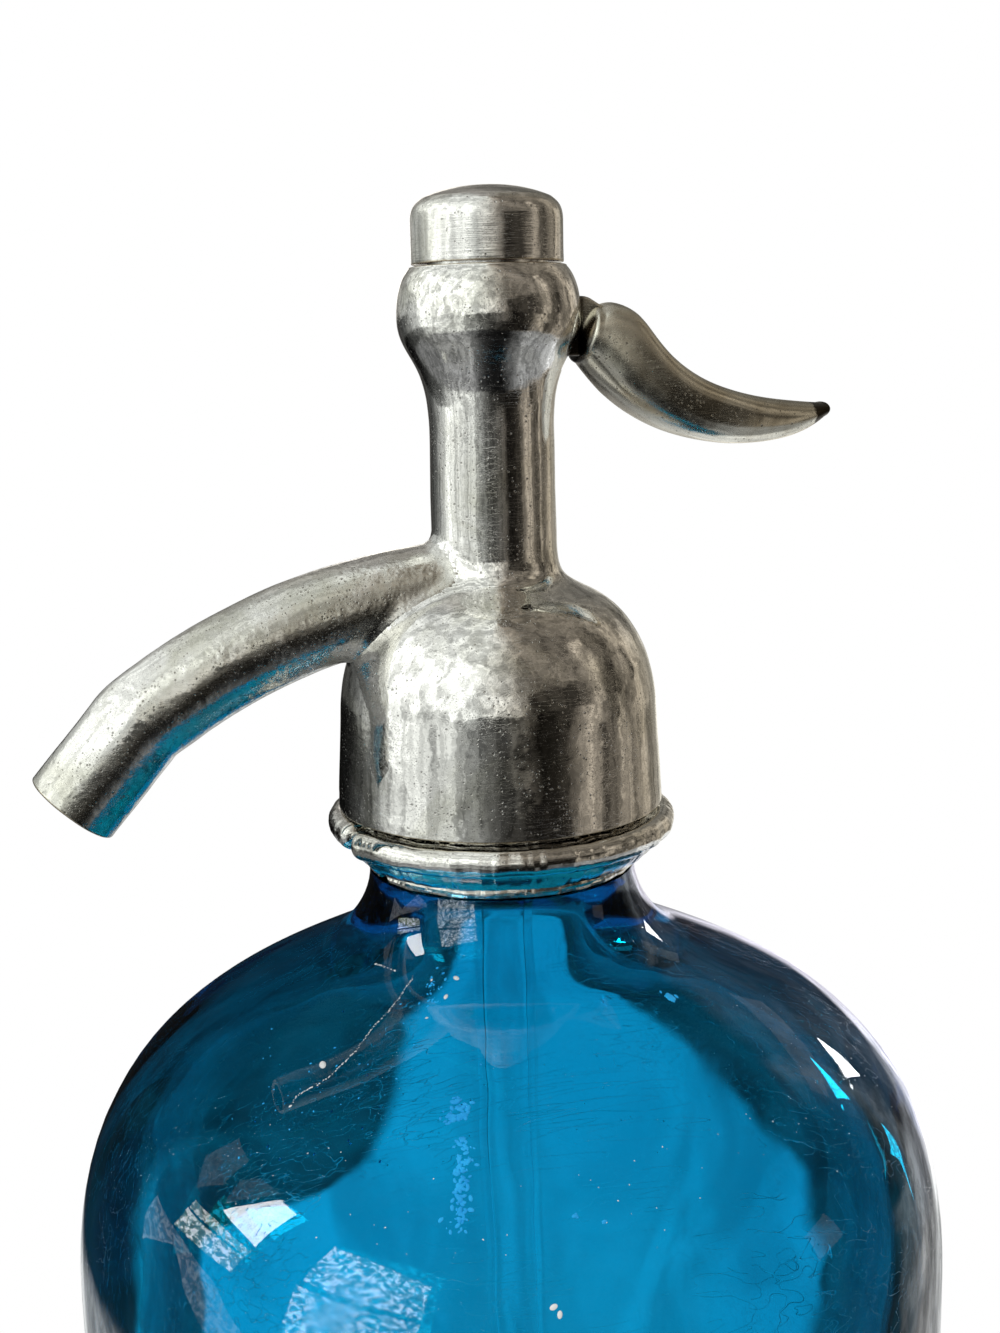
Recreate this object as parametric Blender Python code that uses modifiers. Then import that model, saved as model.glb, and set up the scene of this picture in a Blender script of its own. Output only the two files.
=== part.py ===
"""Soda siphon: a glass bottle with a plated head, a spout and a sprung thumb lever.

Metres, +Z up. The origin lies on the bottle's axis, in the plane that the bottle stands on.
The spout points to -X and the lever to +X. Pressing the lever lifts the stem and opens the valve.
"""

import math

import bmesh
import bpy
from mathutils import Matrix, Vector

# Clearances, overruns and counts that several pieces share
SEAT_GAP = 0.0003
PIN_GAP = 0.00025
CUT_OVERRUN = 0.002
MERGE_DISTANCE = 0.00001
SHARP_ANGLE = math.radians(35)
BOTTLE_STEPS = 40
HEAD_STEPS = 32
SMALL_STEPS = 20
CORNER_STEPS = 2
SHORT_CURVE_STEPS = 4
LONG_CURVE_STEPS = 8
FINE_CURVE_STEPS = 40

# Glass bottle, outside
BODY_RADIUS = 0.056
BODY_HEIGHT = 0.1715
HEEL_HEIGHT = 0.012
FOOT_OUTER_RADIUS = 0.048
FOOT_INNER_RADIUS = 0.040
PUNT_HEIGHT = 0.0035
SHOULDER_HEIGHT = 0.0402
FLARE_HEIGHT = 0.0108
FLARE_RADIUS = 0.024
NECK_FOOT_RADIUS = 0.0169
NECK_RADIUS = 0.0154
NECK_LENGTH = 0.0138
LIP_RADIUS = 0.0179
LIP_HEIGHT = 0.0075
LIP_ROUND = 0.0016
SHOULDER_PULL_SHARES = ((0.473, 0.188), (0.0, 0.693))
FLARE_PULL_SHARES = ((0.0, 0.41), (0.532, 0.175))
HEEL_PULL_SHARES = ((0.0, 0.6), (0.6, 0.0))
PUNT_PULL_SHARES = ((0.15, 0.5), (0.6, 0.0))

# Glass bottle, inside
GLASS_WALL = 0.006
NECK_BORE_RADIUS = 0.011
BASE_THICKNESS = 0.007
FLOOR_ROUND_HEIGHT = 0.016
BORE_END_DROP = 0.005
BORE_PULL_SHARES = ((0.0, 0.55), (0.5, 0.16))
FLOOR_PULL_SHARES = ((0.0, 0.75), (0.7, 0.0))

# Dip tube and its rubber bush
DIP_TUBE_RADIUS = 0.004
DIP_TUBE_WALL = 0.0012
DIP_TUBE_FOOT_CLEARANCE = 0.006
BUSH_WALL = 0.0013
BUSH_FLANGE_THICKNESS = 0.0015
BUSH_FLANGE_OVERLAP = 0.0012

# Tube holder: a threaded nipple with the valve seat on its top
HOLDER_THREAD_RADIUS = 0.0067
HOLDER_THREAD_LENGTH = 0.0034
HOLDER_FLANGE_RADIUS = 0.0083
HOLDER_FLANGE_THICKNESS = 0.002
HOLDER_BARREL_RADIUS = 0.0077
HOLDER_BARREL_LENGTH = 0.0163
HOLDER_SOCKET_DEPTH = 0.012
WATERWAY_RADIUS = 0.002
SEAT_NOZZLE_RADIUS = 0.003
SEAT_NOZZLE_HEIGHT = 0.0014

# Mouth gasket
GASKET_THICKNESS = 0.0022
GASKET_RADIUS = 0.0174
GASKET_BORE_RADIUS = 0.0112

# Split collar that grips the glass under its lip
COLLAR_CONE_HEIGHT = 0.00495
COLLAR_FOOT_WALL = 0.0009
COLLAR_TOP_CLEARANCE = 0.0004
COLLAR_SPLIT_GAP = 0.0009
COLLAR_SPLIT_ANGLE = math.radians(17)
BEAD_RADIUS = 0.00135
BEAD_STEPS = 7
BEAD_BULGE_RADIUS = 0.02065

# Head casting, outside
SKIRT_EDGE_RADIUS = 0.0205
SKIRT_TOP_RADIUS = 0.0198
SKIRT_BORE_RADIUS = 0.0186
DOME_FOOT_DROP = 0.0031
DOME_HEIGHT = 0.014
DOME_TOP_RADIUS = 0.0114
FILLET_HEIGHT = 0.0068
COLUMN_FOOT_RADIUS = 0.00775
COLUMN_RADIUS = 0.00762
COLUMN_LENGTH = 0.0132
BULB_LOWER_HEIGHT = 0.0133
BULB_RADIUS = 0.01118
BULB_UPPER_HEIGHT = 0.0058
BULB_TOP_RADIUS = 0.0095
DOME_PULL_SHARES = ((0.842, 0.227), (0.02, 0.24))
FILLET_PULL_SHARES = ((0.0, 0.69), (0.9, 0.25))
BULB_LOWER_PULL_SHARES = ((0.0, 0.373), (0.0, 0.655))
BULB_UPPER_PULL_SHARES = ((0.1, 0.03), (0.0, 0.69))

# Head casting, inside
VALVE_CHAMBER_RADIUS = 0.005
LIFT_MARGIN = 0.0012
PACKING_FLOOR_THICKNESS = 0.0026
COLUMN_BORE_RADIUS = 0.005
BULB_CHAMBER_RADIUS = 0.0076
BULB_FLOOR_DROP = 0.0036
CAP_RECESS_RADIUS = 0.0087
CAP_RECESS_DEPTH = 0.0009

# Spout: its axis leaves the head, bends down in one long curve, kinks and runs straight to the mouth
SPOUT_RADIUS = 0.00585
SPOUT_WALL = 0.0016
SPOUT_ROOT_WALL = 0.0018
SPOUT_LEAD_REACH = 0.012
SPOUT_LEAD_DROP = 0.0003
SPOUT_LEAD_ANGLE = math.radians(8)
SPOUT_BEND_ANGLE = math.radians(28)
SPOUT_BEND_RADIUS = 0.070
SPOUT_KINK_ANGLE = math.radians(13)
SPOUT_KINK_RADIUS = 0.010
SPOUT_TAIL_LENGTH = 0.0118
SPOUT_BEND_STEPS = 9
SPOUT_KINK_STEPS = 3
SPOUT_SOCKET_STEPS = 5
SPOUT_RESOLUTION = 8
PORT_DEPTH = 0.004

# Lever, its pin and how far it turns
PIVOT_REACH = 0.0082
PIVOT_DROP = 0.0017
LEVER_THROW = math.radians(14)
LEVER_PIN_RADIUS = 0.0009
PIN_FRONT_REACH = 0.0051
PIN_BACK_REACH = 0.0066
ARM_REACH = 0.0088
ARM_HALF_HEIGHT = 0.0011
ARM_HALF_WIDTH = 0.0034
FORK_HALF_GAP = 0.0019
HUB_RADIUS = 0.0033
NECK_CREST_REACH = 0.0034
NECK_CREST_RISE = 0.0034
NECK_GROOVE_REACH = 0.0056
NECK_GROOVE_RISE = 0.0025
NECK_DROP = 0.0034
NECK_TOP_END_REACH = 0.0082
NECK_TOP_END_RISE = 0.0022
NECK_FOOT_END_REACH = 0.0049
SLOT_TOP_RISE = 0.0044
SLOT_FOOT_DROP = 0.005
SLOT_INNER_REACH = 0.004
HORN_ROOT_TOP_REACH = 0.0154
HORN_ROOT_TOP_RISE = 0.003
HORN_ROOT_FOOT_REACH = 0.0113
HORN_ROOT_FOOT_DROP = 0.0043
HORN_TIP_REACH = 0.0433
HORN_TIP_TOP_DROP = 0.0099
HORN_TIP_FOOT_DROP = 0.0119
HORN_HALF_WIDTH = 0.0062
HORN_END_ROUND = 0.0005
HORN_END_SHARE = 0.82
HORN_EDGE_POWER = 1.25
HORN_STATIONS = 13
HORN_SIDES = 20
HORN_TOP_PULL_SHARES = ((0.25, 0.1), (0.93, 0.125))
HORN_FOOT_PULL_SHARES = ((0.336, 1.831), (0.114, -0.451))
HORN_WIDTH_SHARES = (0.8, 0.94, 1.0, 1.0, 0.95, 0.85, 0.7, 0.45)

# Stem and what it carries
STEM_RADIUS = 0.0015
STEM_TOP_RISE = 0.0102
STEM_ROUND = 0.0004
STEM_FLANGE_RADIUS = 0.0036
STEM_FLANGE_DROP = 0.0024
STEM_FLANGE_THICKNESS = 0.001
LIFT_GAP = 0.0004
LIFT_COLLAR_RADIUS = 0.0044
LIFT_COLLAR_THICKNESS = 0.0012
SPRING_WASHER_RADIUS = 0.0054
SPRING_WASHER_THICKNESS = 0.0008
SPRING_WASHER_RIM_HEIGHT = 0.001
SPRING_WASHER_RIM_WALL = 0.0005
VALVE_WASHER_RADIUS = 0.0038
VALVE_WASHER_THICKNESS = 0.0018
VALVE_WASHER_PROUD = 0.0006
VALVE_FOOT_WALL = 0.0004
VALVE_FOOT_BODY = 0.0052
VALVE_FOOT_ROUND = 0.0008
STEM_SOCKET_DEPTH = 0.0025
SCREW_SHANK_RADIUS = 0.0007
SCREW_SHANK_LENGTH = 0.0042
SCREW_HEAD_RADIUS = 0.0014
SCREW_HEAD_THICKNESS = 0.0008

# Stem packing and its nut
PACKING_HEIGHT = 0.0032
PACKING_NUT_HEIGHT = 0.0042
PACKING_NUT_SLOT_WIDTH = 0.0012
PACKING_NUT_SLOT_DEPTH = 0.0012

# Cap, its gasket and the return spring under it
CAP_RADIUS = 0.00917
CAP_SIDE_HEIGHT = 0.0031
CAP_CROWN_HEIGHT = 0.00595
CAP_ROOF_THICKNESS = 0.0027
CAP_SPIGOT_LENGTH = 0.0033
CAP_BORE_RADIUS = 0.0059
CAP_EDGE_ROUND = 0.0003
CAP_CROWN_PULL_SHARES = ((0.95, 0.02), (0.0, 0.62))
CAP_GASKET_WALL = 0.0005
SPRING_COIL_RADIUS = 0.0042
SPRING_WIRE_RADIUS = 0.0004
SPRING_TURNS = 5
SPRING_TURN_STEPS = 9
SPRING_RESOLUTION = 1

# Heights above the base plane, each built on the one it rests on
FLARE_BASE_Z = BODY_HEIGHT + SHOULDER_HEIGHT
NECK_FOOT_Z = FLARE_BASE_Z + FLARE_HEIGHT
LIP_BASE_Z = NECK_FOOT_Z + NECK_LENGTH
LIP_TOP_Z = LIP_BASE_Z + LIP_HEIGHT
GASKET_Z = LIP_TOP_Z + SEAT_GAP
CEILING_Z = GASKET_Z + GASKET_THICKNESS + SEAT_GAP
COLLAR_FOOT_Z = NECK_FOOT_Z + SEAT_GAP
COLLAR_TOP_Z = LIP_BASE_Z - COLLAR_TOP_CLEARANCE
BEAD_Z = COLLAR_FOOT_Z + COLLAR_CONE_HEIGHT + BEAD_RADIUS
SKIRT_EDGE_Z = BEAD_Z + BEAD_RADIUS + SEAT_GAP
DOME_FOOT_Z = CEILING_Z - DOME_FOOT_DROP
DOME_TOP_Z = DOME_FOOT_Z + DOME_HEIGHT
COLUMN_FOOT_Z = DOME_TOP_Z + FILLET_HEIGHT
COLUMN_TOP_Z = COLUMN_FOOT_Z + COLUMN_LENGTH
BULB_MIDDLE_Z = COLUMN_TOP_Z + BULB_LOWER_HEIGHT
BULB_TOP_Z = BULB_MIDDLE_Z + BULB_UPPER_HEIGHT
PIVOT_Z = BULB_MIDDLE_Z - PIVOT_DROP
BULB_FLOOR_Z = PIVOT_Z - BULB_FLOOR_DROP
CAP_EDGE_Z = BULB_TOP_Z + SEAT_GAP
CAP_SIDE_Z = CAP_EDGE_Z + CAP_SIDE_HEIGHT
CAP_TOP_Z = CAP_SIDE_Z + CAP_CROWN_HEIGHT
CAP_ROOF_Z = CAP_TOP_Z - CAP_ROOF_THICKNESS

HOLDER_TOP_Z = CEILING_Z + HOLDER_THREAD_LENGTH
HOLDER_FLANGE_Z = CEILING_Z - SEAT_GAP
HOLDER_BARREL_Z = HOLDER_FLANGE_Z - HOLDER_FLANGE_THICKNESS
HOLDER_FOOT_Z = HOLDER_BARREL_Z - HOLDER_BARREL_LENGTH
SOCKET_ROOF_Z = HOLDER_FOOT_Z + HOLDER_SOCKET_DEPTH
SEAT_Z = HOLDER_TOP_Z + SEAT_NOZZLE_HEIGHT
VALVE_FLOOR_Z = HOLDER_TOP_Z + SEAT_GAP

VALVE_LIFT = PIVOT_REACH * LEVER_THROW
VALVE_WASHER_Z = SEAT_Z + SEAT_GAP
VALVE_FOOT_Z = VALVE_WASHER_Z + VALVE_WASHER_PROUD
VALVE_FOOT_ROOF_Z = VALVE_WASHER_Z + VALVE_WASHER_THICKNESS + SEAT_GAP
VALVE_FOOT_TOP_Z = VALVE_FOOT_ROOF_Z + VALVE_FOOT_BODY
VALVE_FOOT_RADIUS = VALVE_WASHER_RADIUS + SEAT_GAP + VALVE_FOOT_WALL
VALVE_CEILING_Z = VALVE_FOOT_TOP_Z + VALVE_LIFT + LIFT_MARGIN
PACKING_FLOOR_Z = VALVE_CEILING_Z + PACKING_FLOOR_THICKNESS
PACKING_Z = PACKING_FLOOR_Z + SEAT_GAP
PACKING_NUT_Z = PACKING_Z + PACKING_HEIGHT + SEAT_GAP

STEM_FOOT_Z = VALVE_FOOT_TOP_Z - STEM_SOCKET_DEPTH + SEAT_GAP
STEM_FLANGE_Z = PIVOT_Z - STEM_FLANGE_DROP
STEM_TOP_Z = PIVOT_Z + STEM_TOP_RISE
LIFT_COLLAR_Z = PIVOT_Z + ARM_HALF_HEIGHT + LIFT_GAP
SPRING_WASHER_Z = LIFT_COLLAR_Z + LIFT_COLLAR_THICKNESS + SEAT_GAP
SPRING_FOOT_Z = SPRING_WASHER_Z + SPRING_WASHER_THICKNESS + SEAT_GAP
SPRING_TOP_Z = CAP_ROOF_Z - SEAT_GAP

BOTTLE_FLOOR_Z = PUNT_HEIGHT + BASE_THICKNESS
DIP_TUBE_FOOT_Z = BOTTLE_FLOOR_Z + DIP_TUBE_FOOT_CLEARANCE
DIP_TUBE_TOP_Z = SOCKET_ROOF_Z - SEAT_GAP
BUSH_BORE_RADIUS = DIP_TUBE_RADIUS + SEAT_GAP
BUSH_RADIUS = BUSH_BORE_RADIUS + BUSH_WALL
SOCKET_RADIUS = BUSH_RADIUS + SEAT_GAP
STEM_BORE_RADIUS = STEM_RADIUS + SEAT_GAP


def clear_scene():
    """Remove every object, so that the model starts from nothing."""
    for found in list(bpy.data.objects):
        bpy.data.objects.remove(found)


def new_collection(name):
    """Add a collection to the scene and return it."""
    collection = bpy.data.collections.new(name)
    bpy.context.scene.collection.children.link(collection)
    return collection


def new_finish(name, colour, roughness, metallic):
    """Make a plain material with one Principled shader."""
    finish = bpy.data.materials.new(name)
    finish.use_nodes = True
    finish.diffuse_color = (*colour, 1.0)
    shader = finish.node_tree.nodes["Principled BSDF"]
    shader.inputs["Base Color"].default_value = (*colour, 1.0)
    shader.inputs["Roughness"].default_value = roughness
    shader.inputs["Metallic"].default_value = metallic
    return finish


clear_scene()
PARTS = new_collection("soda_siphon")
CUTTERS = new_collection("soda_siphon_cutters")


def add_part(name, mesh, finish):
    """Link a mesh as a named part with its finish."""
    part = bpy.data.objects.new(name, mesh)
    part.data.materials.clear()
    part.data.materials.append(finish)
    PARTS.objects.link(part)
    return part


def add_cutter(name, mesh):
    """Link a mesh as a hidden wire cutter."""
    cutter = bpy.data.objects.new(name, mesh)
    cutter.display_type = "WIRE"
    cutter.hide_render = True
    CUTTERS.objects.link(cutter)
    return cutter


def settle(part):
    """Turn a part's modifiers into plain geometry and shade its round faces smooth."""
    bpy.context.view_layer.update()
    evaluated = part.evaluated_get(bpy.context.evaluated_depsgraph_get())
    mesh = bpy.data.meshes.new_from_object(evaluated)
    mesh.name = part.name
    mesh.shade_smooth()
    mesh.set_sharp_from_angle(angle=SHARP_ANGLE)
    part.modifiers.clear()
    part.data = mesh
    return part


def combine(part, other, operation):
    """Cut, join or trim a part with another object and settle the result."""
    change = part.modifiers.new(other.name, "BOOLEAN")
    change.operation = operation
    change.solver = "EXACT"
    change.object = other
    return settle(part)


def curve_run(start, end, pull_shares, steps):
    """Points on one smooth curve from start to end.

    Each pull share is how far the curve heads along X and Z from its end, as shares of the whole span.
    """
    start, end = Vector(start), Vector(end)
    span = end - start
    near = start + Vector((span.x * pull_shares[0][0], span.y * pull_shares[0][1]))
    far = end - Vector((span.x * pull_shares[1][0], span.y * pull_shares[1][1]))
    points = []
    for step in range(steps + 1):
        along = step / steps
        back = 1 - along
        from_start = start * back ** 3 + near * 3 * back ** 2 * along
        to_end = end * along ** 3 + far * 3 * along ** 2 * back
        point = from_start + to_end
        points.append((point.x, point.y))
    return points


def even_run(points, count):
    """The same run of points, spaced evenly along its length."""
    lengths = [0.0]
    for first, second in zip(points, points[1:]):
        lengths.append(lengths[-1] + math.dist(first, second))
    spaced = []
    for index in range(count):
        wanted = lengths[-1] * index / (count - 1)
        piece = max(i for i in range(len(points) - 1) if lengths[i] <= wanted)
        share = (wanted - lengths[piece]) / (lengths[piece + 1] - lengths[piece])
        first, second = Vector(points[piece]), Vector(points[piece + 1])
        spaced.append(first.lerp(second, min(share, 1.0)))
    return spaced


def inset(points, distance):
    """A run moved to its left by a distance, which is inwards on a run that goes down the outside."""
    moved = []
    for index, point in enumerate(points):
        before = Vector(points[max(index - 1, 0)])
        after = Vector(points[min(index + 1, len(points) - 1)])
        heading = (after - before).normalized()
        moved.append((point[0] + heading.y * distance, point[1] - heading.x * distance))
    return moved


def rounded(corners):
    """An outline whose corners (x, z, round) are eased by arcs; a corner with no round stays sharp."""
    outline = []
    count = len(corners)
    for index, corner in enumerate(corners):
        here = Vector(corner[:2])
        size = corner[2] if len(corner) > 2 else 0
        if not size:
            outline.append(tuple(here))
            continue
        before = Vector(corners[index - 1][:2])
        after = Vector(corners[(index + 1) % count][:2])
        start = here + (before - here).normalized() * size
        end = here + (after - here).normalized() * size
        for step in range(CORNER_STEPS + 1):
            along = step / CORNER_STEPS
            point = start.lerp(here, along).lerp(here.lerp(end, along), along)
            outline.append(tuple(point))
    return outline


def join_runs(*runs):
    """Chain runs of points and drop a point that repeats the one before it."""
    chained = []
    for run in runs:
        for point in run:
            if not chained or math.dist(chained[-1], point) > MERGE_DISTANCE:
                chained.append(tuple(point))
    return chained


def turned_mesh(name, outline, steps, closed=True):
    """Turn an outline of (radius, height) about the Z axis; it runs down its outer side."""
    count = len(outline)
    edges = [(index, index + 1) for index in range(count - 1)]
    if closed:
        edges.append((count - 1, 0))
    mesh = bpy.data.meshes.new(name)
    mesh.from_pydata([(radius, 0.0, height) for radius, height in outline], edges, [])
    lathe = bpy.data.objects.new(name + "_lathe", mesh)
    CUTTERS.objects.link(lathe)
    turn = lathe.modifiers.new("Turn", "SCREW")
    turn.axis = "Z"
    turn.steps = steps
    turn.render_steps = steps
    turn.use_merge_vertices = True
    turn.merge_threshold = MERGE_DISTANCE
    turn.use_smooth_shade = True
    settle(lathe)
    result = lathe.data
    bpy.data.objects.remove(lathe)
    return result


def turned(name, corners, finish, steps=SMALL_STEPS, closed=True):
    """A turned part from an outline with rounded corners."""
    return add_part(name, turned_mesh(name, rounded(corners), steps, closed), finish)


def ring(name, inner, outer, foot, top, finish, edge=0):
    """A turned ring with its outer corners eased by an edge."""
    corners = [(outer, top, edge), (outer, foot, edge), (inner, foot), (inner, top)]
    return turned(name, corners, finish)


def box_mesh(name, low, high):
    """A box between two corners."""
    low, high = Vector(low), Vector(high)
    mesh = bpy.data.meshes.new(name)
    shape = bmesh.new()
    bmesh.ops.create_cube(shape, size=1.0)
    place = Matrix.Translation((low + high) / 2) @ Matrix.Diagonal((*(high - low), 1.0))
    bmesh.ops.transform(shape, matrix=place, verts=shape.verts)
    shape.to_mesh(mesh)
    shape.free()
    return mesh


def rod_mesh(name, start, end, radius, steps=SMALL_STEPS):
    """A cylinder from start to end."""
    start, end = Vector(start), Vector(end)
    mesh = bpy.data.meshes.new(name)
    shape = bmesh.new()
    bmesh.ops.create_cone(
        shape, cap_ends=True, segments=steps, radius1=radius, radius2=radius, depth=(end - start).length
    )
    aim = (end - start).to_track_quat("Z", "Y").to_matrix().to_4x4()
    bmesh.ops.transform(shape, matrix=Matrix.Translation((start + end) / 2) @ aim, verts=shape.verts)
    shape.to_mesh(mesh)
    shape.free()
    return mesh


def tube_mesh(name, points, radius, resolution):
    """A solid round rod along a row of points, from a curve whose caps are welded on."""
    curve = bpy.data.curves.new(name, "CURVE")
    curve.dimensions = "3D"
    curve.bevel_depth = radius
    curve.bevel_resolution = resolution
    curve.use_fill_caps = True
    spline = curve.splines.new("POLY")
    spline.points.add(len(points) - 1)
    for knot, point in zip(spline.points, points):
        knot.co = (*point, 1.0)
    wire = bpy.data.objects.new(name + "_wire", curve)
    CUTTERS.objects.link(wire)
    bpy.context.view_layer.update()
    evaluated = wire.evaluated_get(bpy.context.evaluated_depsgraph_get())
    mesh = bpy.data.meshes.new_from_object(evaluated)
    mesh.name = name
    shape = bmesh.new()
    shape.from_mesh(mesh)
    bmesh.ops.remove_doubles(shape, verts=shape.verts, dist=MERGE_DISTANCE)
    bmesh.ops.recalc_face_normals(shape, faces=shape.faces)
    shape.to_mesh(mesh)
    shape.free()
    bpy.data.objects.remove(wire)
    return mesh


def plate_mesh(name, outline, half_width):
    """A flat outline of (x, z) points, extruded along Y to both sides."""
    curve = bpy.data.curves.new(name, "CURVE")
    curve.dimensions = "2D"
    curve.fill_mode = "BOTH"
    curve.extrude = half_width
    spline = curve.splines.new("POLY")
    spline.points.add(len(outline) - 1)
    for knot, point in zip(spline.points, outline):
        knot.co = (point[0], point[1], 0.0, 1.0)
    spline.use_cyclic_u = True
    sheet = bpy.data.objects.new(name + "_sheet", curve)
    CUTTERS.objects.link(sheet)
    bpy.context.view_layer.update()
    evaluated = sheet.evaluated_get(bpy.context.evaluated_depsgraph_get())
    mesh = bpy.data.meshes.new_from_object(evaluated)
    mesh.name = name
    shape = bmesh.new()
    shape.from_mesh(mesh)
    bmesh.ops.remove_doubles(shape, verts=shape.verts, dist=MERGE_DISTANCE)
    bmesh.ops.transform(shape, matrix=Matrix.Rotation(math.pi / 2, 4, "X"), verts=shape.verts)
    bmesh.ops.recalc_face_normals(shape, faces=shape.faces)
    shape.to_mesh(mesh)
    shape.free()
    bpy.data.objects.remove(sheet)
    return mesh


GLASS = new_finish("blue_glass", (0.02, 0.28, 0.42), 0.05, 0.0)
CLEAR_GLASS = new_finish("clear_glass", (0.75, 0.88, 0.92), 0.05, 0.0)
PLATE = new_finish("worn_plating", (0.62, 0.61, 0.58), 0.25, 1.0)
BRASS = new_finish("brass", (0.70, 0.52, 0.24), 0.35, 1.0)
STEEL = new_finish("spring_steel", (0.50, 0.50, 0.52), 0.30, 1.0)
RUBBER = new_finish("black_rubber", (0.03, 0.03, 0.03), 0.80, 0.0)
RED_RUBBER = new_finish("red_rubber", (0.35, 0.08, 0.05), 0.75, 0.0)


def build_bottle():
    """Glass bottle: inside from the floor up, over the lip, then down the outside to the punt."""
    shoulder = curve_run(
        (FLARE_RADIUS, FLARE_BASE_Z), (BODY_RADIUS, BODY_HEIGHT), SHOULDER_PULL_SHARES, LONG_CURVE_STEPS
    )
    flare = curve_run(
        (NECK_FOOT_RADIUS, NECK_FOOT_Z), (FLARE_RADIUS, FLARE_BASE_Z), FLARE_PULL_SHARES, SHORT_CURVE_STEPS
    )
    inner_shoulder = inset(shoulder, GLASS_WALL)
    inner_radius = BODY_RADIUS - GLASS_WALL
    floor_edge = (inner_radius, BOTTLE_FLOOR_Z + FLOOR_ROUND_HEIGHT)
    floor = curve_run(floor_edge, (0.0, BOTTLE_FLOOR_Z), FLOOR_PULL_SHARES, LONG_CURVE_STEPS)
    bore_end = (NECK_BORE_RADIUS, NECK_FOOT_Z - BORE_END_DROP)
    bore = curve_run(bore_end, inner_shoulder[0], BORE_PULL_SHARES, SHORT_CURVE_STEPS)
    lip = rounded([
        bore_end,
        (NECK_BORE_RADIUS, LIP_TOP_Z, LIP_ROUND / 2),
        (LIP_RADIUS, LIP_TOP_Z, LIP_ROUND),
        (LIP_RADIUS, LIP_BASE_Z, LIP_ROUND),
        (NECK_RADIUS, LIP_BASE_Z),
        (NECK_RADIUS, NECK_FOOT_Z),
    ])
    heel_edge = (BODY_RADIUS, HEEL_HEIGHT)
    heel = curve_run(heel_edge, (FOOT_OUTER_RADIUS, 0.0), HEEL_PULL_SHARES, SHORT_CURVE_STEPS)
    punt_edge = (FOOT_INNER_RADIUS, 0.0)
    punt = curve_run(punt_edge, (0.0, PUNT_HEIGHT), PUNT_PULL_SHARES, SHORT_CURVE_STEPS)
    inside = join_runs(bore, inner_shoulder, floor)
    outline = join_runs(reversed(inside), lip, flare, shoulder, heel, punt)
    return add_part("glass_bottle", turned_mesh("glass_bottle", outline, BOTTLE_STEPS, closed=False), GLASS)


def build_dip_tube():
    """Glass tube that reaches from the holder nearly to the bottle's floor."""
    bore = DIP_TUBE_RADIUS - DIP_TUBE_WALL
    return ring("dip_tube", bore, DIP_TUBE_RADIUS, DIP_TUBE_FOOT_Z, DIP_TUBE_TOP_Z, CLEAR_GLASS)


def build_tube_bush():
    """Rubber bush round the dip tube's top, with a flange under the holder."""
    flange_top = HOLDER_FOOT_Z - SEAT_GAP
    flange_foot = flange_top - BUSH_FLANGE_THICKNESS
    flange_radius = SOCKET_RADIUS + BUSH_FLANGE_OVERLAP
    return turned("tube_bush", [
        (BUSH_RADIUS, DIP_TUBE_TOP_Z),
        (BUSH_RADIUS, flange_top),
        (flange_radius, flange_top),
        (flange_radius, flange_foot),
        (BUSH_BORE_RADIUS, flange_foot),
        (BUSH_BORE_RADIUS, DIP_TUBE_TOP_Z),
    ], RED_RUBBER)


def build_tube_holder():
    """Brass nipple: socket for the bush below, flange, thread, and the valve seat on top."""
    return turned("tube_holder", [
        (SEAT_NOZZLE_RADIUS, SEAT_Z),
        (SEAT_NOZZLE_RADIUS, HOLDER_TOP_Z),
        (HOLDER_THREAD_RADIUS, HOLDER_TOP_Z),
        (HOLDER_THREAD_RADIUS, HOLDER_FLANGE_Z),
        (HOLDER_FLANGE_RADIUS, HOLDER_FLANGE_Z),
        (HOLDER_FLANGE_RADIUS, HOLDER_BARREL_Z),
        (HOLDER_BARREL_RADIUS, HOLDER_BARREL_Z),
        (HOLDER_BARREL_RADIUS, HOLDER_FOOT_Z),
        (SOCKET_RADIUS, HOLDER_FOOT_Z),
        (SOCKET_RADIUS, SOCKET_ROOF_Z),
        (WATERWAY_RADIUS, SOCKET_ROOF_Z),
        (WATERWAY_RADIUS, SEAT_Z),
    ], BRASS)


def build_mouth_gasket():
    """Rubber ring between the glass lip and the head."""
    return ring(
        "mouth_gasket", GASKET_BORE_RADIUS, GASKET_RADIUS, GASKET_Z, GASKET_Z + GASKET_THICKNESS, RUBBER
    )


def build_collar():
    """Split collar: one turned ring with a rolled bead, cut into a front and a back half."""
    grip_radius = NECK_RADIUS + SEAT_GAP
    sleeve_radius = SKIRT_BORE_RADIUS - SEAT_GAP
    bead = []
    for step in range(BEAD_STEPS + 1):
        angle = math.pi * step / BEAD_STEPS
        radius = BEAD_BULGE_RADIUS + BEAD_RADIUS * math.sin(angle)
        bead.append((radius, BEAD_Z + BEAD_RADIUS * math.cos(angle)))
    outline = join_runs(
        [(grip_radius, COLLAR_TOP_Z), (sleeve_radius, COLLAR_TOP_Z), (sleeve_radius, BEAD_Z + BEAD_RADIUS)],
        bead,
        [(grip_radius + COLLAR_FOOT_WALL, COLLAR_FOOT_Z), (grip_radius, COLLAR_FOOT_Z)],
    )
    turn = Matrix.Rotation(COLLAR_SPLIT_ANGLE, 4, "Z")
    reach = BODY_RADIUS
    half_gap = COLLAR_SPLIT_GAP / 2
    kept = {"collar_half_front": (-half_gap, reach), "collar_half_back": (-reach, half_gap)}
    for name, (low_y, high_y) in kept.items():
        half = add_part(name, turned_mesh(name, outline, HEAD_STEPS), PLATE)
        low = (-reach, low_y, NECK_FOOT_Z - reach)
        high = (reach, high_y, LIP_TOP_Z + reach)
        mesh = box_mesh(name + "_cut", low, high)
        mesh.transform(turn)
        combine(half, add_cutter(name + "_cut", mesh), "DIFFERENCE")


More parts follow.
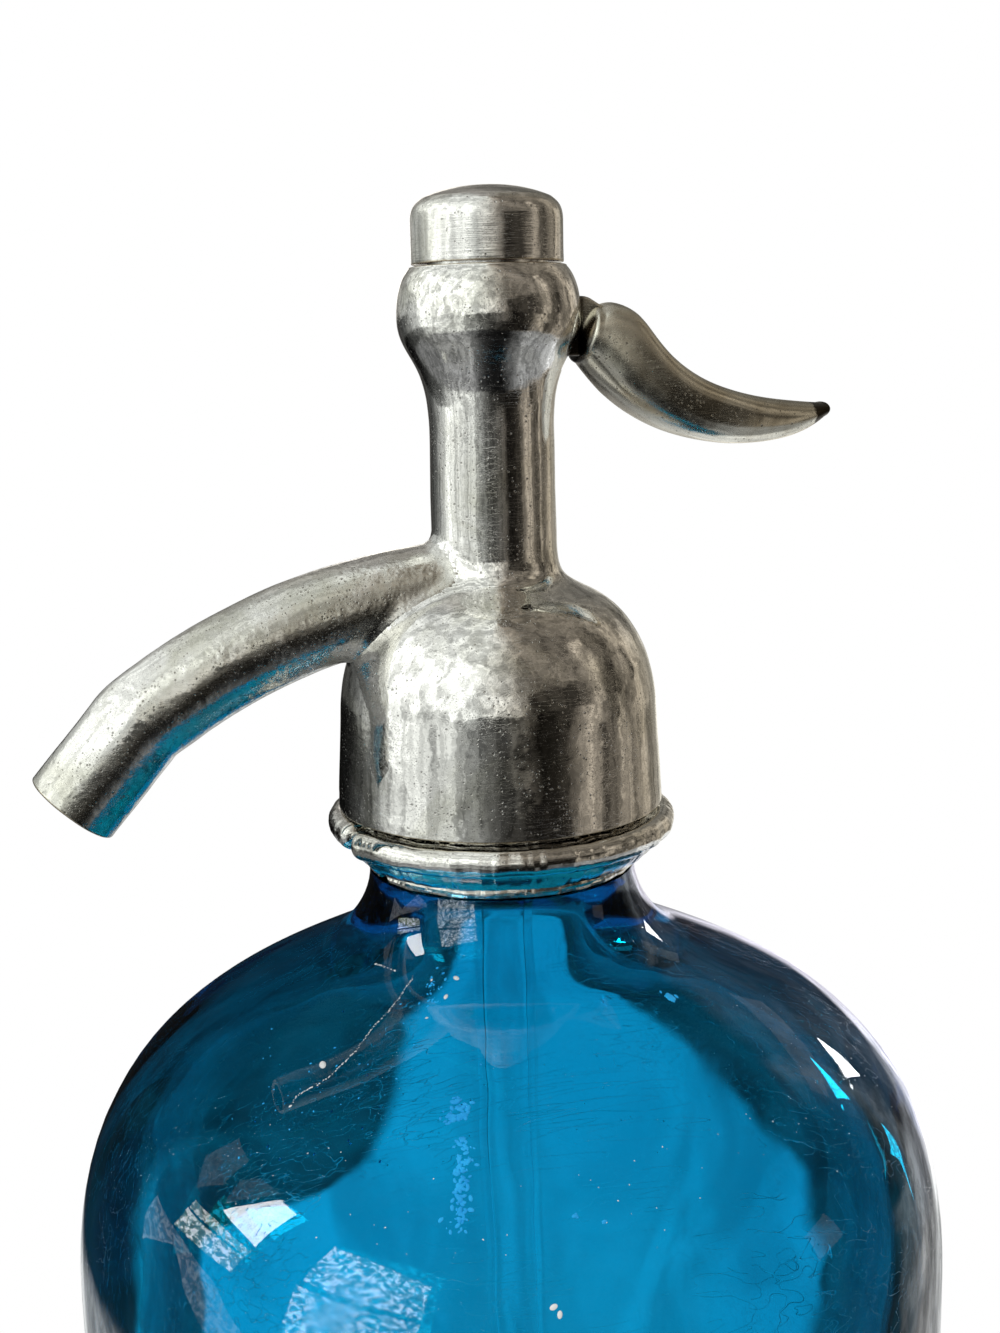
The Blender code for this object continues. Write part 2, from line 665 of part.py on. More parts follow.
def head_outline():
    """Outline of the head casting: outside from the bulb down to the skirt, then up the bores."""
    bulb_edge = (BULB_TOP_RADIUS, BULB_TOP_Z)
    bulb_middle = (BULB_RADIUS, BULB_MIDDLE_Z)
    column_top = (COLUMN_RADIUS, COLUMN_TOP_Z)
    column_foot = (COLUMN_FOOT_RADIUS, COLUMN_FOOT_Z)
    dome_top = (DOME_TOP_RADIUS, DOME_TOP_Z)
    dome_foot = (SKIRT_TOP_RADIUS, DOME_FOOT_Z)
    bulb_top = curve_run(bulb_edge, bulb_middle, BULB_UPPER_PULL_SHARES, SHORT_CURVE_STEPS)
    bulb_foot = curve_run(bulb_middle, column_top, BULB_LOWER_PULL_SHARES, LONG_CURVE_STEPS)
    fillet = curve_run(column_foot, dome_top, FILLET_PULL_SHARES, SHORT_CURVE_STEPS)
    dome = curve_run(dome_top, dome_foot, DOME_PULL_SHARES, LONG_CURVE_STEPS)
    thread_radius = HOLDER_THREAD_RADIUS + SEAT_GAP
    inside = [
        (SKIRT_EDGE_RADIUS, SKIRT_EDGE_Z),
        (SKIRT_BORE_RADIUS, SKIRT_EDGE_Z),
        (SKIRT_BORE_RADIUS, CEILING_Z),
        (thread_radius, CEILING_Z),
        (thread_radius, VALVE_FLOOR_Z),
        (VALVE_CHAMBER_RADIUS, VALVE_FLOOR_Z),
        (VALVE_CHAMBER_RADIUS, VALVE_CEILING_Z),
        (STEM_BORE_RADIUS, VALVE_CEILING_Z),
        (STEM_BORE_RADIUS, PACKING_FLOOR_Z),
        (COLUMN_BORE_RADIUS, PACKING_FLOOR_Z),
        (COLUMN_BORE_RADIUS, BULB_FLOOR_Z),
        (BULB_CHAMBER_RADIUS, BULB_FLOOR_Z),
        (BULB_CHAMBER_RADIUS, BULB_TOP_Z - CAP_RECESS_DEPTH),
        (CAP_RECESS_RADIUS, BULB_TOP_Z - CAP_RECESS_DEPTH),
        (CAP_RECESS_RADIUS, BULB_TOP_Z),
    ]
    return join_runs(bulb_top, bulb_foot, fillet, dome, inside)


def spout_route():
    """Points and headings of the spout's axis, from its root in the head to its mouth."""
    lead = Vector((-math.cos(SPOUT_LEAD_ANGLE), 0.0, -math.sin(SPOUT_LEAD_ANGLE)))
    lead_end = Vector((-SPOUT_LEAD_REACH, 0.0, DOME_TOP_Z - SPOUT_LEAD_DROP))
    root_reach = VALVE_CHAMBER_RADIUS + SPOUT_ROOT_WALL
    root = lead_end + lead * ((root_reach - SPOUT_LEAD_REACH) / math.cos(SPOUT_LEAD_ANGLE))
    route = [root, lead_end]
    heading = SPOUT_LEAD_ANGLE
    bends = (
        (SPOUT_BEND_ANGLE, SPOUT_BEND_RADIUS, SPOUT_BEND_STEPS),
        (SPOUT_KINK_ANGLE, SPOUT_KINK_RADIUS, SPOUT_KINK_STEPS),
    )
    for turn, radius, steps in bends:
        start = route[-1]
        for step in range(1, steps + 1):
            angle = heading + turn * step / steps
            across = radius * (math.sin(angle) - math.sin(heading))
            down = radius * (math.cos(heading) - math.cos(angle))
            route.append(start + Vector((-across, 0.0, -down)))
        heading += turn
    tail = Vector((-math.cos(heading), 0.0, -math.sin(heading)))
    route.append(route[-1] + tail * SPOUT_TAIL_LENGTH)
    return route, lead, tail


def build_spout():
    """Bent tube with an open bore."""
    route, lead, tail = spout_route()
    spout = add_part("spout", tube_mesh("spout", route, SPOUT_RADIUS, SPOUT_RESOLUTION), PLATE)
    bore_route = [route[0] - lead * CUT_OVERRUN, *route, route[-1] + tail * CUT_OVERRUN]
    bore = tube_mesh("spout_bore", bore_route, SPOUT_RADIUS - SPOUT_WALL, SPOUT_RESOLUTION)
    return combine(spout, add_cutter("spout_bore", bore), "DIFFERENCE")


def build_head():
    """Head casting with the spout's socket and port, the lever's slot and the pin's hole."""
    head = add_part("head_body", turned_mesh("head_body", head_outline(), HEAD_STEPS), PLATE)
    route, lead, tail = spout_route()
    socket_route = [route[0] - lead * SEAT_GAP, *route[: SPOUT_SOCKET_STEPS + 1]]
    socket = tube_mesh("spout_socket", socket_route, SPOUT_RADIUS + SEAT_GAP, SPOUT_RESOLUTION)
    combine(head, add_cutter("spout_socket", socket), "DIFFERENCE")
    port = rod_mesh(
        "spout_port", route[0] - lead * PORT_DEPTH, route[0] + lead * CUT_OVERRUN, SPOUT_RADIUS - SPOUT_WALL
    )
    combine(head, add_cutter("spout_port", port), "DIFFERENCE")
    slot_half_width = ARM_HALF_WIDTH + SEAT_GAP
    slot = box_mesh(
        "lever_slot",
        (SLOT_INNER_REACH, -slot_half_width, PIVOT_Z - SLOT_FOOT_DROP),
        (BULB_RADIUS + CUT_OVERRUN, slot_half_width, PIVOT_Z + SLOT_TOP_RISE),
    )
    combine(head, add_cutter("lever_slot", slot), "DIFFERENCE")
    hole = rod_mesh(
        "pin_hole",
        (PIVOT_REACH, -PIN_FRONT_REACH - SEAT_GAP, PIVOT_Z),
        (PIVOT_REACH, BULB_RADIUS, PIVOT_Z),
        LEVER_PIN_RADIUS + PIN_GAP,
    )
    combine(head, add_cutter("pin_hole", hole), "DIFFERENCE")
    return head


def build_lever_pin():
    """Pin driven in from the back of the bulb; its front end stops in the wall."""
    front = (PIVOT_REACH, -PIN_FRONT_REACH, PIVOT_Z)
    back = (PIVOT_REACH, PIN_BACK_REACH, PIVOT_Z)
    mesh = rod_mesh("lever_pin", front, back, LEVER_PIN_RADIUS)
    return settle(add_part("lever_pin", mesh, STEEL))


def build_packing():
    """Rubber packing in the column's foot, and the slotted nut that presses it."""
    radius = COLUMN_BORE_RADIUS - SEAT_GAP
    ring("stem_packing", STEM_BORE_RADIUS, radius, PACKING_Z, PACKING_Z + PACKING_HEIGHT, RUBBER)
    top = PACKING_NUT_Z + PACKING_NUT_HEIGHT
    nut = ring("packing_nut", STEM_BORE_RADIUS, radius, PACKING_NUT_Z, top, BRASS)
    half_slot = PACKING_NUT_SLOT_WIDTH / 2
    slot = box_mesh(
        "packing_nut_slot",
        (-radius - CUT_OVERRUN, -half_slot, top - PACKING_NUT_SLOT_DEPTH),
        (radius + CUT_OVERRUN, half_slot, top + CUT_OVERRUN),
    )
    combine(nut, add_cutter("packing_nut_slot", slot), "DIFFERENCE")


def build_cap():
    """Turned thimble: crowned top, straight side, and a spigot that screws into the bulb."""
    crown_edge = (CAP_RADIUS, CAP_SIDE_Z)
    crown = curve_run((0.0, CAP_TOP_Z), crown_edge, CAP_CROWN_PULL_SHARES, LONG_CURVE_STEPS)
    spigot_radius = BULB_CHAMBER_RADIUS - SEAT_GAP
    spigot_foot = CAP_EDGE_Z - CAP_SPIGOT_LENGTH
    edge = rounded([
        (CAP_RADIUS, CAP_SIDE_Z),
        (CAP_RADIUS, CAP_EDGE_Z, CAP_EDGE_ROUND),
        (spigot_radius, CAP_EDGE_Z),
        (spigot_radius, spigot_foot),
        (CAP_BORE_RADIUS, spigot_foot),
        (CAP_BORE_RADIUS, CAP_ROOF_Z),
        (0.0, CAP_ROOF_Z),
    ])
    outline = join_runs(crown, edge)
    add_part("cap", turned_mesh("cap", outline, HEAD_STEPS, closed=False), PLATE)
    gasket_foot = BULB_TOP_Z - CAP_RECESS_DEPTH + SEAT_GAP
    outer = CAP_RECESS_RADIUS - SEAT_GAP
    ring("cap_gasket", outer - CAP_GASKET_WALL, outer, gasket_foot, BULB_TOP_Z, RED_RUBBER)


def build_spring():
    """Return spring between the stem's washer and the cap's roof."""
    foot = SPRING_FOOT_Z + SPRING_WIRE_RADIUS
    top = SPRING_TOP_Z - SPRING_WIRE_RADIUS
    count = SPRING_TURNS * SPRING_TURN_STEPS
    points = []
    for step in range(count + 1):
        angle = math.tau * step / SPRING_TURN_STEPS
        height = foot + (top - foot) * step / count
        points.append((SPRING_COIL_RADIUS * math.cos(angle), SPRING_COIL_RADIUS * math.sin(angle), height))
    return add_part(
        "return_spring", tube_mesh("return_spring", points, SPRING_WIRE_RADIUS, SPRING_RESOLUTION), STEEL
    )


def build_stem():
    """Stem with its fixed lower flange, and the pieces that ride on it."""
    flange_foot = STEM_FLANGE_Z - STEM_FLANGE_THICKNESS
    turned("valve_stem", [
        (0.0, STEM_TOP_Z),
        (STEM_RADIUS, STEM_TOP_Z, STEM_ROUND),
        (STEM_RADIUS, STEM_FLANGE_Z),
        (STEM_FLANGE_RADIUS, STEM_FLANGE_Z),
        (STEM_FLANGE_RADIUS, flange_foot),
        (STEM_RADIUS, flange_foot),
        (STEM_RADIUS, STEM_FOOT_Z),
        (0.0, STEM_FOOT_Z),
    ], BRASS, closed=False)
    ring(
        "lift_collar", STEM_BORE_RADIUS, LIFT_COLLAR_RADIUS, LIFT_COLLAR_Z,
        LIFT_COLLAR_Z + LIFT_COLLAR_THICKNESS, BRASS,
    )
    washer_top = SPRING_WASHER_Z + SPRING_WASHER_THICKNESS
    rim_top = washer_top + SPRING_WASHER_RIM_HEIGHT
    rim_bore = SPRING_WASHER_RADIUS - SPRING_WASHER_RIM_WALL
    turned("spring_washer", [
        (SPRING_WASHER_RADIUS, rim_top),
        (SPRING_WASHER_RADIUS, SPRING_WASHER_Z),
        (STEM_BORE_RADIUS, SPRING_WASHER_Z),
        (STEM_BORE_RADIUS, washer_top),
        (rim_bore, washer_top),
        (rim_bore, rim_top),
    ], STEEL)


def build_valve():
    """Valve foot on the stem's end, its rubber washer and the screw that holds the washer."""
    screw_bore = SCREW_SHANK_RADIUS + SEAT_GAP
    washer_bore = VALVE_FOOT_RADIUS - VALVE_FOOT_WALL
    turned("valve_foot", [
        (STEM_BORE_RADIUS, VALVE_FOOT_TOP_Z),
        (VALVE_FOOT_RADIUS, VALVE_FOOT_TOP_Z, VALVE_FOOT_ROUND),
        (VALVE_FOOT_RADIUS, VALVE_FOOT_Z),
        (washer_bore, VALVE_FOOT_Z),
        (washer_bore, VALVE_FOOT_ROOF_Z),
        (screw_bore, VALVE_FOOT_ROOF_Z),
        (screw_bore, VALVE_FOOT_TOP_Z - STEM_SOCKET_DEPTH),
        (STEM_BORE_RADIUS, VALVE_FOOT_TOP_Z - STEM_SOCKET_DEPTH),
    ], BRASS)
    ring(
        "valve_washer", screw_bore, VALVE_WASHER_RADIUS, VALVE_WASHER_Z,
        VALVE_WASHER_Z + VALVE_WASHER_THICKNESS, RUBBER,
    )
    head_top = VALVE_WASHER_Z - SEAT_GAP
    turned("washer_screw", [
        (0.0, head_top + SCREW_SHANK_LENGTH),
        (SCREW_SHANK_RADIUS, head_top + SCREW_SHANK_LENGTH),
        (SCREW_SHANK_RADIUS, head_top),
        (SCREW_HEAD_RADIUS, head_top),
        (SCREW_HEAD_RADIUS, head_top - SCREW_HEAD_THICKNESS),
        (0.0, head_top - SCREW_HEAD_THICKNESS),
    ], BRASS, closed=False)


def neck_outline():
    """Side outline of the lever's forked arm, hub and neck, about the pivot."""
    flat = math.asin(ARM_HALF_HEIGHT / HUB_RADIUS)
    arc = []
    for step in range(CORNER_STEPS + 1):
        angle = math.pi + flat + (math.pi / 2 - flat) * step / CORNER_STEPS
        arc.append((HUB_RADIUS * math.cos(angle), HUB_RADIUS * math.sin(angle)))
    upper_arc = [(x, -z) for x, z in reversed(arc)]
    outline = [(-ARM_REACH, -ARM_HALF_HEIGHT), *arc]
    outline += [
        (NECK_FOOT_END_REACH, -NECK_DROP),
        (NECK_TOP_END_REACH, NECK_TOP_END_RISE),
        (NECK_GROOVE_REACH, NECK_GROOVE_RISE),
        (NECK_CREST_REACH, NECK_CREST_RISE),
    ]
    outline += [*upper_arc, (-ARM_REACH, ARM_HALF_HEIGHT)]
    return outline


def horn_mesh(name):
    """Thumb horn: lens-shaped sections lofted between its top edge and its foot edge."""
    top = curve_run(
        (HORN_ROOT_TOP_REACH, PIVOT_Z + HORN_ROOT_TOP_RISE),
        (HORN_TIP_REACH, PIVOT_Z - HORN_TIP_TOP_DROP),
        HORN_TOP_PULL_SHARES,
        FINE_CURVE_STEPS,
    )
    foot = curve_run(
        (HORN_ROOT_FOOT_REACH, PIVOT_Z - HORN_ROOT_FOOT_DROP),
        (HORN_TIP_REACH, PIVOT_Z - HORN_TIP_FOOT_DROP),
        HORN_FOOT_PULL_SHARES,
        FINE_CURVE_STEPS,
    )
    pairs = list(zip(even_run(top, HORN_STATIONS), even_run(foot, HORN_STATIONS)))
    width_count = len(HORN_WIDTH_SHARES) - 1
    sections = []
    for index, (upper, lower) in enumerate(pairs):
        place = width_count * index / (HORN_STATIONS - 1)
        low = min(int(place), width_count - 1)
        growth = HORN_WIDTH_SHARES[low + 1] - HORN_WIDTH_SHARES[low]
        share = HORN_WIDTH_SHARES[low] + growth * (place - low)
        sections.append(((upper + lower) / 2, (upper - lower) / 2, HORN_HALF_WIDTH * share))
    for end, inner in ((0, 1), (-1, -2)):
        middle, rise, width = sections[end]
        outward = (middle - sections[inner][0]).normalized() * HORN_END_ROUND
        cap = (middle + outward, rise * HORN_END_SHARE, width * HORN_END_SHARE)
        if end == 0:
            sections.insert(0, cap)
        else:
            sections.append(cap)
    shape = bmesh.new()
    rings = []
    for middle, rise, width in sections:
        loop = []
        for side in range(HORN_SIDES):
            angle = math.tau * side / HORN_SIDES
            lift = math.copysign(abs(math.sin(angle)) ** HORN_EDGE_POWER, math.sin(angle))
            point = middle + rise * lift
            loop.append(shape.verts.new((point.x, width * math.cos(angle), point.y)))
        rings.append(loop)
    for first, second in zip(rings, rings[1:]):
        for side in range(HORN_SIDES):
            following = (side + 1) % HORN_SIDES
            shape.faces.new((first[side], first[following], second[following], second[side]))
    shape.faces.new(rings[0])
    shape.faces.new(rings[-1])
    bmesh.ops.recalc_face_normals(shape, faces=shape.faces)
    mesh = bpy.data.meshes.new(name)
    shape.to_mesh(mesh)
    shape.free()
    return mesh


def build_lever():
    """Thumb lever: horn and neck in one piece, forked at its inner end and drilled for the pin."""
    pivot = Vector((PIVOT_REACH, 0.0, PIVOT_Z))
    neck_mesh = plate_mesh("lever", neck_outline(), ARM_HALF_WIDTH)
    neck_mesh.transform(Matrix.Translation(pivot))
    lever = add_part("lever", neck_mesh, PLATE)
    combine(lever, add_cutter("lever_horn", horn_mesh("lever_horn")), "UNION")
    fork = box_mesh(
        "fork_gap",
        (-ARM_REACH, -FORK_HALF_GAP, PIVOT_Z - HUB_RADIUS),
        (PIVOT_REACH - HUB_RADIUS, FORK_HALF_GAP, PIVOT_Z + HUB_RADIUS),
    )
    combine(lever, add_cutter("fork_gap", fork), "DIFFERENCE")
    reach = Vector((0.0, ARM_HALF_WIDTH + CUT_OVERRUN, 0.0))
    hole = rod_mesh("lever_pin_hole", pivot - reach, pivot + reach, LEVER_PIN_RADIUS + PIN_GAP)
    combine(lever, add_cutter("lever_pin_hole", hole), "DIFFERENCE")
    lever.data.transform(Matrix.Translation(-pivot))
    lever.location = pivot
    return lever


build_bottle()
build_dip_tube()
build_tube_bush()
build_tube_holder()
build_mouth_gasket()
build_collar()
build_head()
build_spout()
build_lever_pin()
build_packing()
build_cap()
build_spring()
build_stem()
build_valve()
build_lever()
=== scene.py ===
"""Looks of the soda siphon: its finishes and fine shapes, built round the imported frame.

Metres, +Z up, in the frame's own axes: the spout points to -X and the lever to +X.
"""

from __future__ import annotations

import logging
import math
from dataclasses import dataclass, field
from enum import Enum

import bmesh
import bpy
import numpy as np
from mathutils import Matrix, Vector, noise


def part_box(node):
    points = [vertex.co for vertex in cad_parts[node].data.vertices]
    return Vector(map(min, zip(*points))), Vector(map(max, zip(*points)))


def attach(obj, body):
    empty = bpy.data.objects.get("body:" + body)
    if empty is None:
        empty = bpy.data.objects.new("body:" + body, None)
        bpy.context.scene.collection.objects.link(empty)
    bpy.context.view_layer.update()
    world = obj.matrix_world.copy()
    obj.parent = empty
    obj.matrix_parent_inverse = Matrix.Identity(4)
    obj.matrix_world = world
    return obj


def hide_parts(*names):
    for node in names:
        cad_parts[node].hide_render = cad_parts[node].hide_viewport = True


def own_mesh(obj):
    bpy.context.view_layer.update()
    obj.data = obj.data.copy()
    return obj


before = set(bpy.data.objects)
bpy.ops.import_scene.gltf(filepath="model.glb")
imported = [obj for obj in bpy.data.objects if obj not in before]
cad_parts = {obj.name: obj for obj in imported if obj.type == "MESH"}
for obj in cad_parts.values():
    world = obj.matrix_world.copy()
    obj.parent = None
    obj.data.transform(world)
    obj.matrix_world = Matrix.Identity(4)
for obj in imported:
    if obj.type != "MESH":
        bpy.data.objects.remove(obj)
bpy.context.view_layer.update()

LOG = logging.getLogger("soda_siphon")

MM = 0.001
MERGE_DISTANCE = 0.001 * MM
SHARP_ANGLE = math.radians(40)

Run = list[tuple[float, float]]
Colour = tuple[float, float, float]
Point = tuple[float, float, float]
Mesh = bpy.types.Mesh
Material = bpy.types.Material
Node = bpy.types.Node
Tree = bpy.types.NodeTree
Socket = bpy.types.NodeSocket
Sockets = bpy.types.bpy_prop_collection


class Body(Enum):
    """The frame's rigid bodies that new pieces ride on."""

    SIPHON = "siphon"
    LEVER = "lever"


class Slot(Enum):
    """The record's material slots that new pieces wear."""

    BLUE_GLASS = "blue_glass"
    CLEAR_GLASS = "clear_glass"
    PLATING = "worn_plating"
    LEVER = "lever_metal"
    STEEL = "spring_steel"


def bend(start: tuple[float, float], end: tuple[float, float], pulls: tuple, steps: int) -> Run:
    """Points on one smooth curve from start to end.

    Args:
        start: First point, as radius and height.
        end: Last point.
        pulls: How far the curve heads along radius and height at each end, as shares of the span.
        steps: Number of stretches.

    Returns:
        The points from start to end.
    """
    first, last = Vector(start), Vector(end)
    span = last - first
    near = first + Vector((span.x * pulls[0][0], span.y * pulls[0][1]))
    far = last - Vector((span.x * pulls[1][0], span.y * pulls[1][1]))
    points = []
    for step in range(steps + 1):
        along = step / steps
        back = 1 - along
        point = first * back ** 3 + near * 3 * back ** 2 * along
        point += far * 3 * back * along ** 2 + last * along ** 3
        points.append((point.x, point.y))
    return points


def eased(corners: list[tuple], steps: int = 4) -> Run:
    """Round the corners of a run.

    Args:
        corners: Points as (radius, height) or (radius, height, rounding).
        steps: Number of stretches in each rounded corner.

    Returns:
        The run with arcs in place of the corners that have a rounding.
    """
    outline: Run = []
    for index, corner in enumerate(corners):
        here = Vector(corner[:2])
        if len(corner) < 3:
            outline.append((here.x, here.y))
            continue
        before = Vector(corners[index - 1][:2])
        after = Vector(corners[(index + 1) % len(corners)][:2])
        start = here + (before - here).normalized() * corner[2]
        end = here + (after - here).normalized() * corner[2]
        for step in range(steps + 1):
            along = step / steps
            point = start.lerp(here, along).lerp(here.lerp(end, along), along)
            outline.append((point.x, point.y))
    return outline


def inset(points: Run, distance: float) -> Run:
    """Move a run that goes down an outer side inwards by a distance.

    Args:
        points: The run.
        distance: How far it moves.

    Returns:
        The moved run.
    """
    moved: Run = []
    for index, point in enumerate(points):
        before = Vector(points[max(index - 1, 0)])
        after = Vector(points[min(index + 1, len(points) - 1)])
        heading = (after - before).normalized()
        moved.append((point[0] + heading.y * distance, point[1] - heading.x * distance))
    return moved


def chain(*runs: Run) -> Run:
    """Join runs end to end and drop each point that repeats the one before it.

    Args:
        *runs: The runs in order.

    Returns:
        The joined run.
    """
    chained: Run = []
    for run in runs:
        for point in run:
            if not chained or math.dist(chained[-1], point) > MERGE_DISTANCE:
                chained.append(tuple(point))
    return chained


def densified(points: Run, spacing: float) -> Run:
    """Add points so that no stretch of a run is longer than a spacing.

    Args:
        points: The run.
        spacing: The longest stretch that stays.

    Returns:
        The denser run.
    """
    dense: Run = [points[0]]
    for first, second in zip(points, points[1:]):
        count = max(1, math.ceil(math.dist(first, second) / spacing))
        for step in range(1, count + 1):
            along = step / count
            across = first[0] + (second[0] - first[0]) * along
            dense.append((across, first[1] + (second[1] - first[1]) * along))
    return dense


@dataclass
class Station:
    """One ring of a loft: its centre, its two half axes and how square it is along each."""

    centre: Vector
    across: Vector
    along: Vector
    powers: Vector = field(default_factory=lambda: Vector((1.0, 1.0, 0.0)))


class GrowthTree:
    """A Geometry Nodes tree that grows a plain mesh from a source mesh."""

    def __init__(self, name: str, inputs: tuple) -> None:
        """Start the tree with its named inputs, a finish and its output.

        Args:
            name: The tree's name.
            inputs: Its inputs as (name, kind, value).
        """
        self.tree = bpy.data.node_groups.new(name, "GeometryNodeTree")
        face = self.tree.interface
        face.new_socket("Source", in_out="INPUT", socket_type="NodeSocketGeometry")
        for label, kind, value in inputs:
            face.new_socket(label, in_out="INPUT", socket_type=kind).default_value = value
        face.new_socket("Finish", in_out="INPUT", socket_type="NodeSocketMaterial")
        face.new_socket("Geometry", in_out="OUTPUT", socket_type="NodeSocketGeometry")
        self.given = self._node("NodeGroupInput").outputs

    def _node(self, kind: str, **settings: object) -> Node:
        """Add a node and set its plain properties.

        Args:
            kind: The node's type.
            **settings: Its plain properties.

        Returns:
            The node.
        """
        node = self.tree.nodes.new(kind)
        for name, value in settings.items():
            setattr(node, name, value)
        return node

    def _math(self, operation: str, first: object, second: object = None) -> Socket:
        """Add a math node whose inputs are sockets or numbers.

        Args:
            operation: The operation.
            first: The first value.
            second: The second value.

        Returns:
            The socket of the result.
        """
        node = self._node("ShaderNodeMath", operation=operation)
        for socket, value in zip(node.inputs, (first, second)):
            if isinstance(value, Socket):
                self.tree.links.new(value, socket)
            elif value is not None:
                socket.default_value = value
        return node.outputs[0]

    def _stored(self, name: str) -> Socket:
        """Read a vector that the source carries.

        Args:
            name: The vector's name.

        Returns:
            The vector's socket.
        """
        stored = self._node("GeometryNodeInputNamedAttribute", data_type="FLOAT_VECTOR")
        stored.inputs["Name"].default_value = name
        return stored.outputs["Attribute"]

    def _end(self, grown: Socket) -> None:
        """Close the tree: real geometry with its finish.

        Args:
            grown: The geometry that the tree has grown.
        """
        real = self._node("GeometryNodeRealizeInstances")
        self.tree.links.new(grown, real.inputs["Geometry"])
        dressed = self._node("GeometryNodeSetMaterial")
        self.tree.links.new(real.outputs["Geometry"], dressed.inputs["Geometry"])
        self.tree.links.new(self.given["Finish"], dressed.inputs["Material"])
        self.tree.links.new(dressed.outputs["Geometry"], self._node("NodeGroupOutput").inputs["Geometry"])

    def grow(self, name: str, points: list, carried: dict[str, list], given: dict[str, object]) -> Mesh:
        """Run the tree once.

        Args:
            name: The mesh's name.
            points: Places of the source's points.
            carried: Vectors that the points carry, by name.
            given: Values of the tree's inputs, by name.

        Returns:
            The plain mesh.
        """
        source = bpy.data.meshes.new(name)
        source.from_pydata([tuple(point) for point in points], [], [])
        for label, values in carried.items():
            layer = source.attributes.new(label, "FLOAT_VECTOR", "POINT")
            rows = np.array([tuple(value) for value in values], np.float32)
            layer.data.foreach_set("vector", rows.ravel())
        carrier = bpy.data.objects.new(name + "_source", source)
        bpy.context.scene.collection.objects.link(carrier)
        change = carrier.modifiers.new("Growth", "NODES")
        change.node_group = self.tree
        for item in self.tree.interface.items_tree:
            if item.item_type == "SOCKET" and item.in_out == "INPUT" and item.name in given:
                change[item.identifier] = given[item.name]
        bpy.context.view_layer.update()
        mesh = bpy.data.meshes.new_from_object(carrier.evaluated_get(bpy.context.evaluated_depsgraph_get()))
        mesh.name = name
        carrier.modifiers.clear()
        bpy.data.objects.remove(carrier)
        return mesh


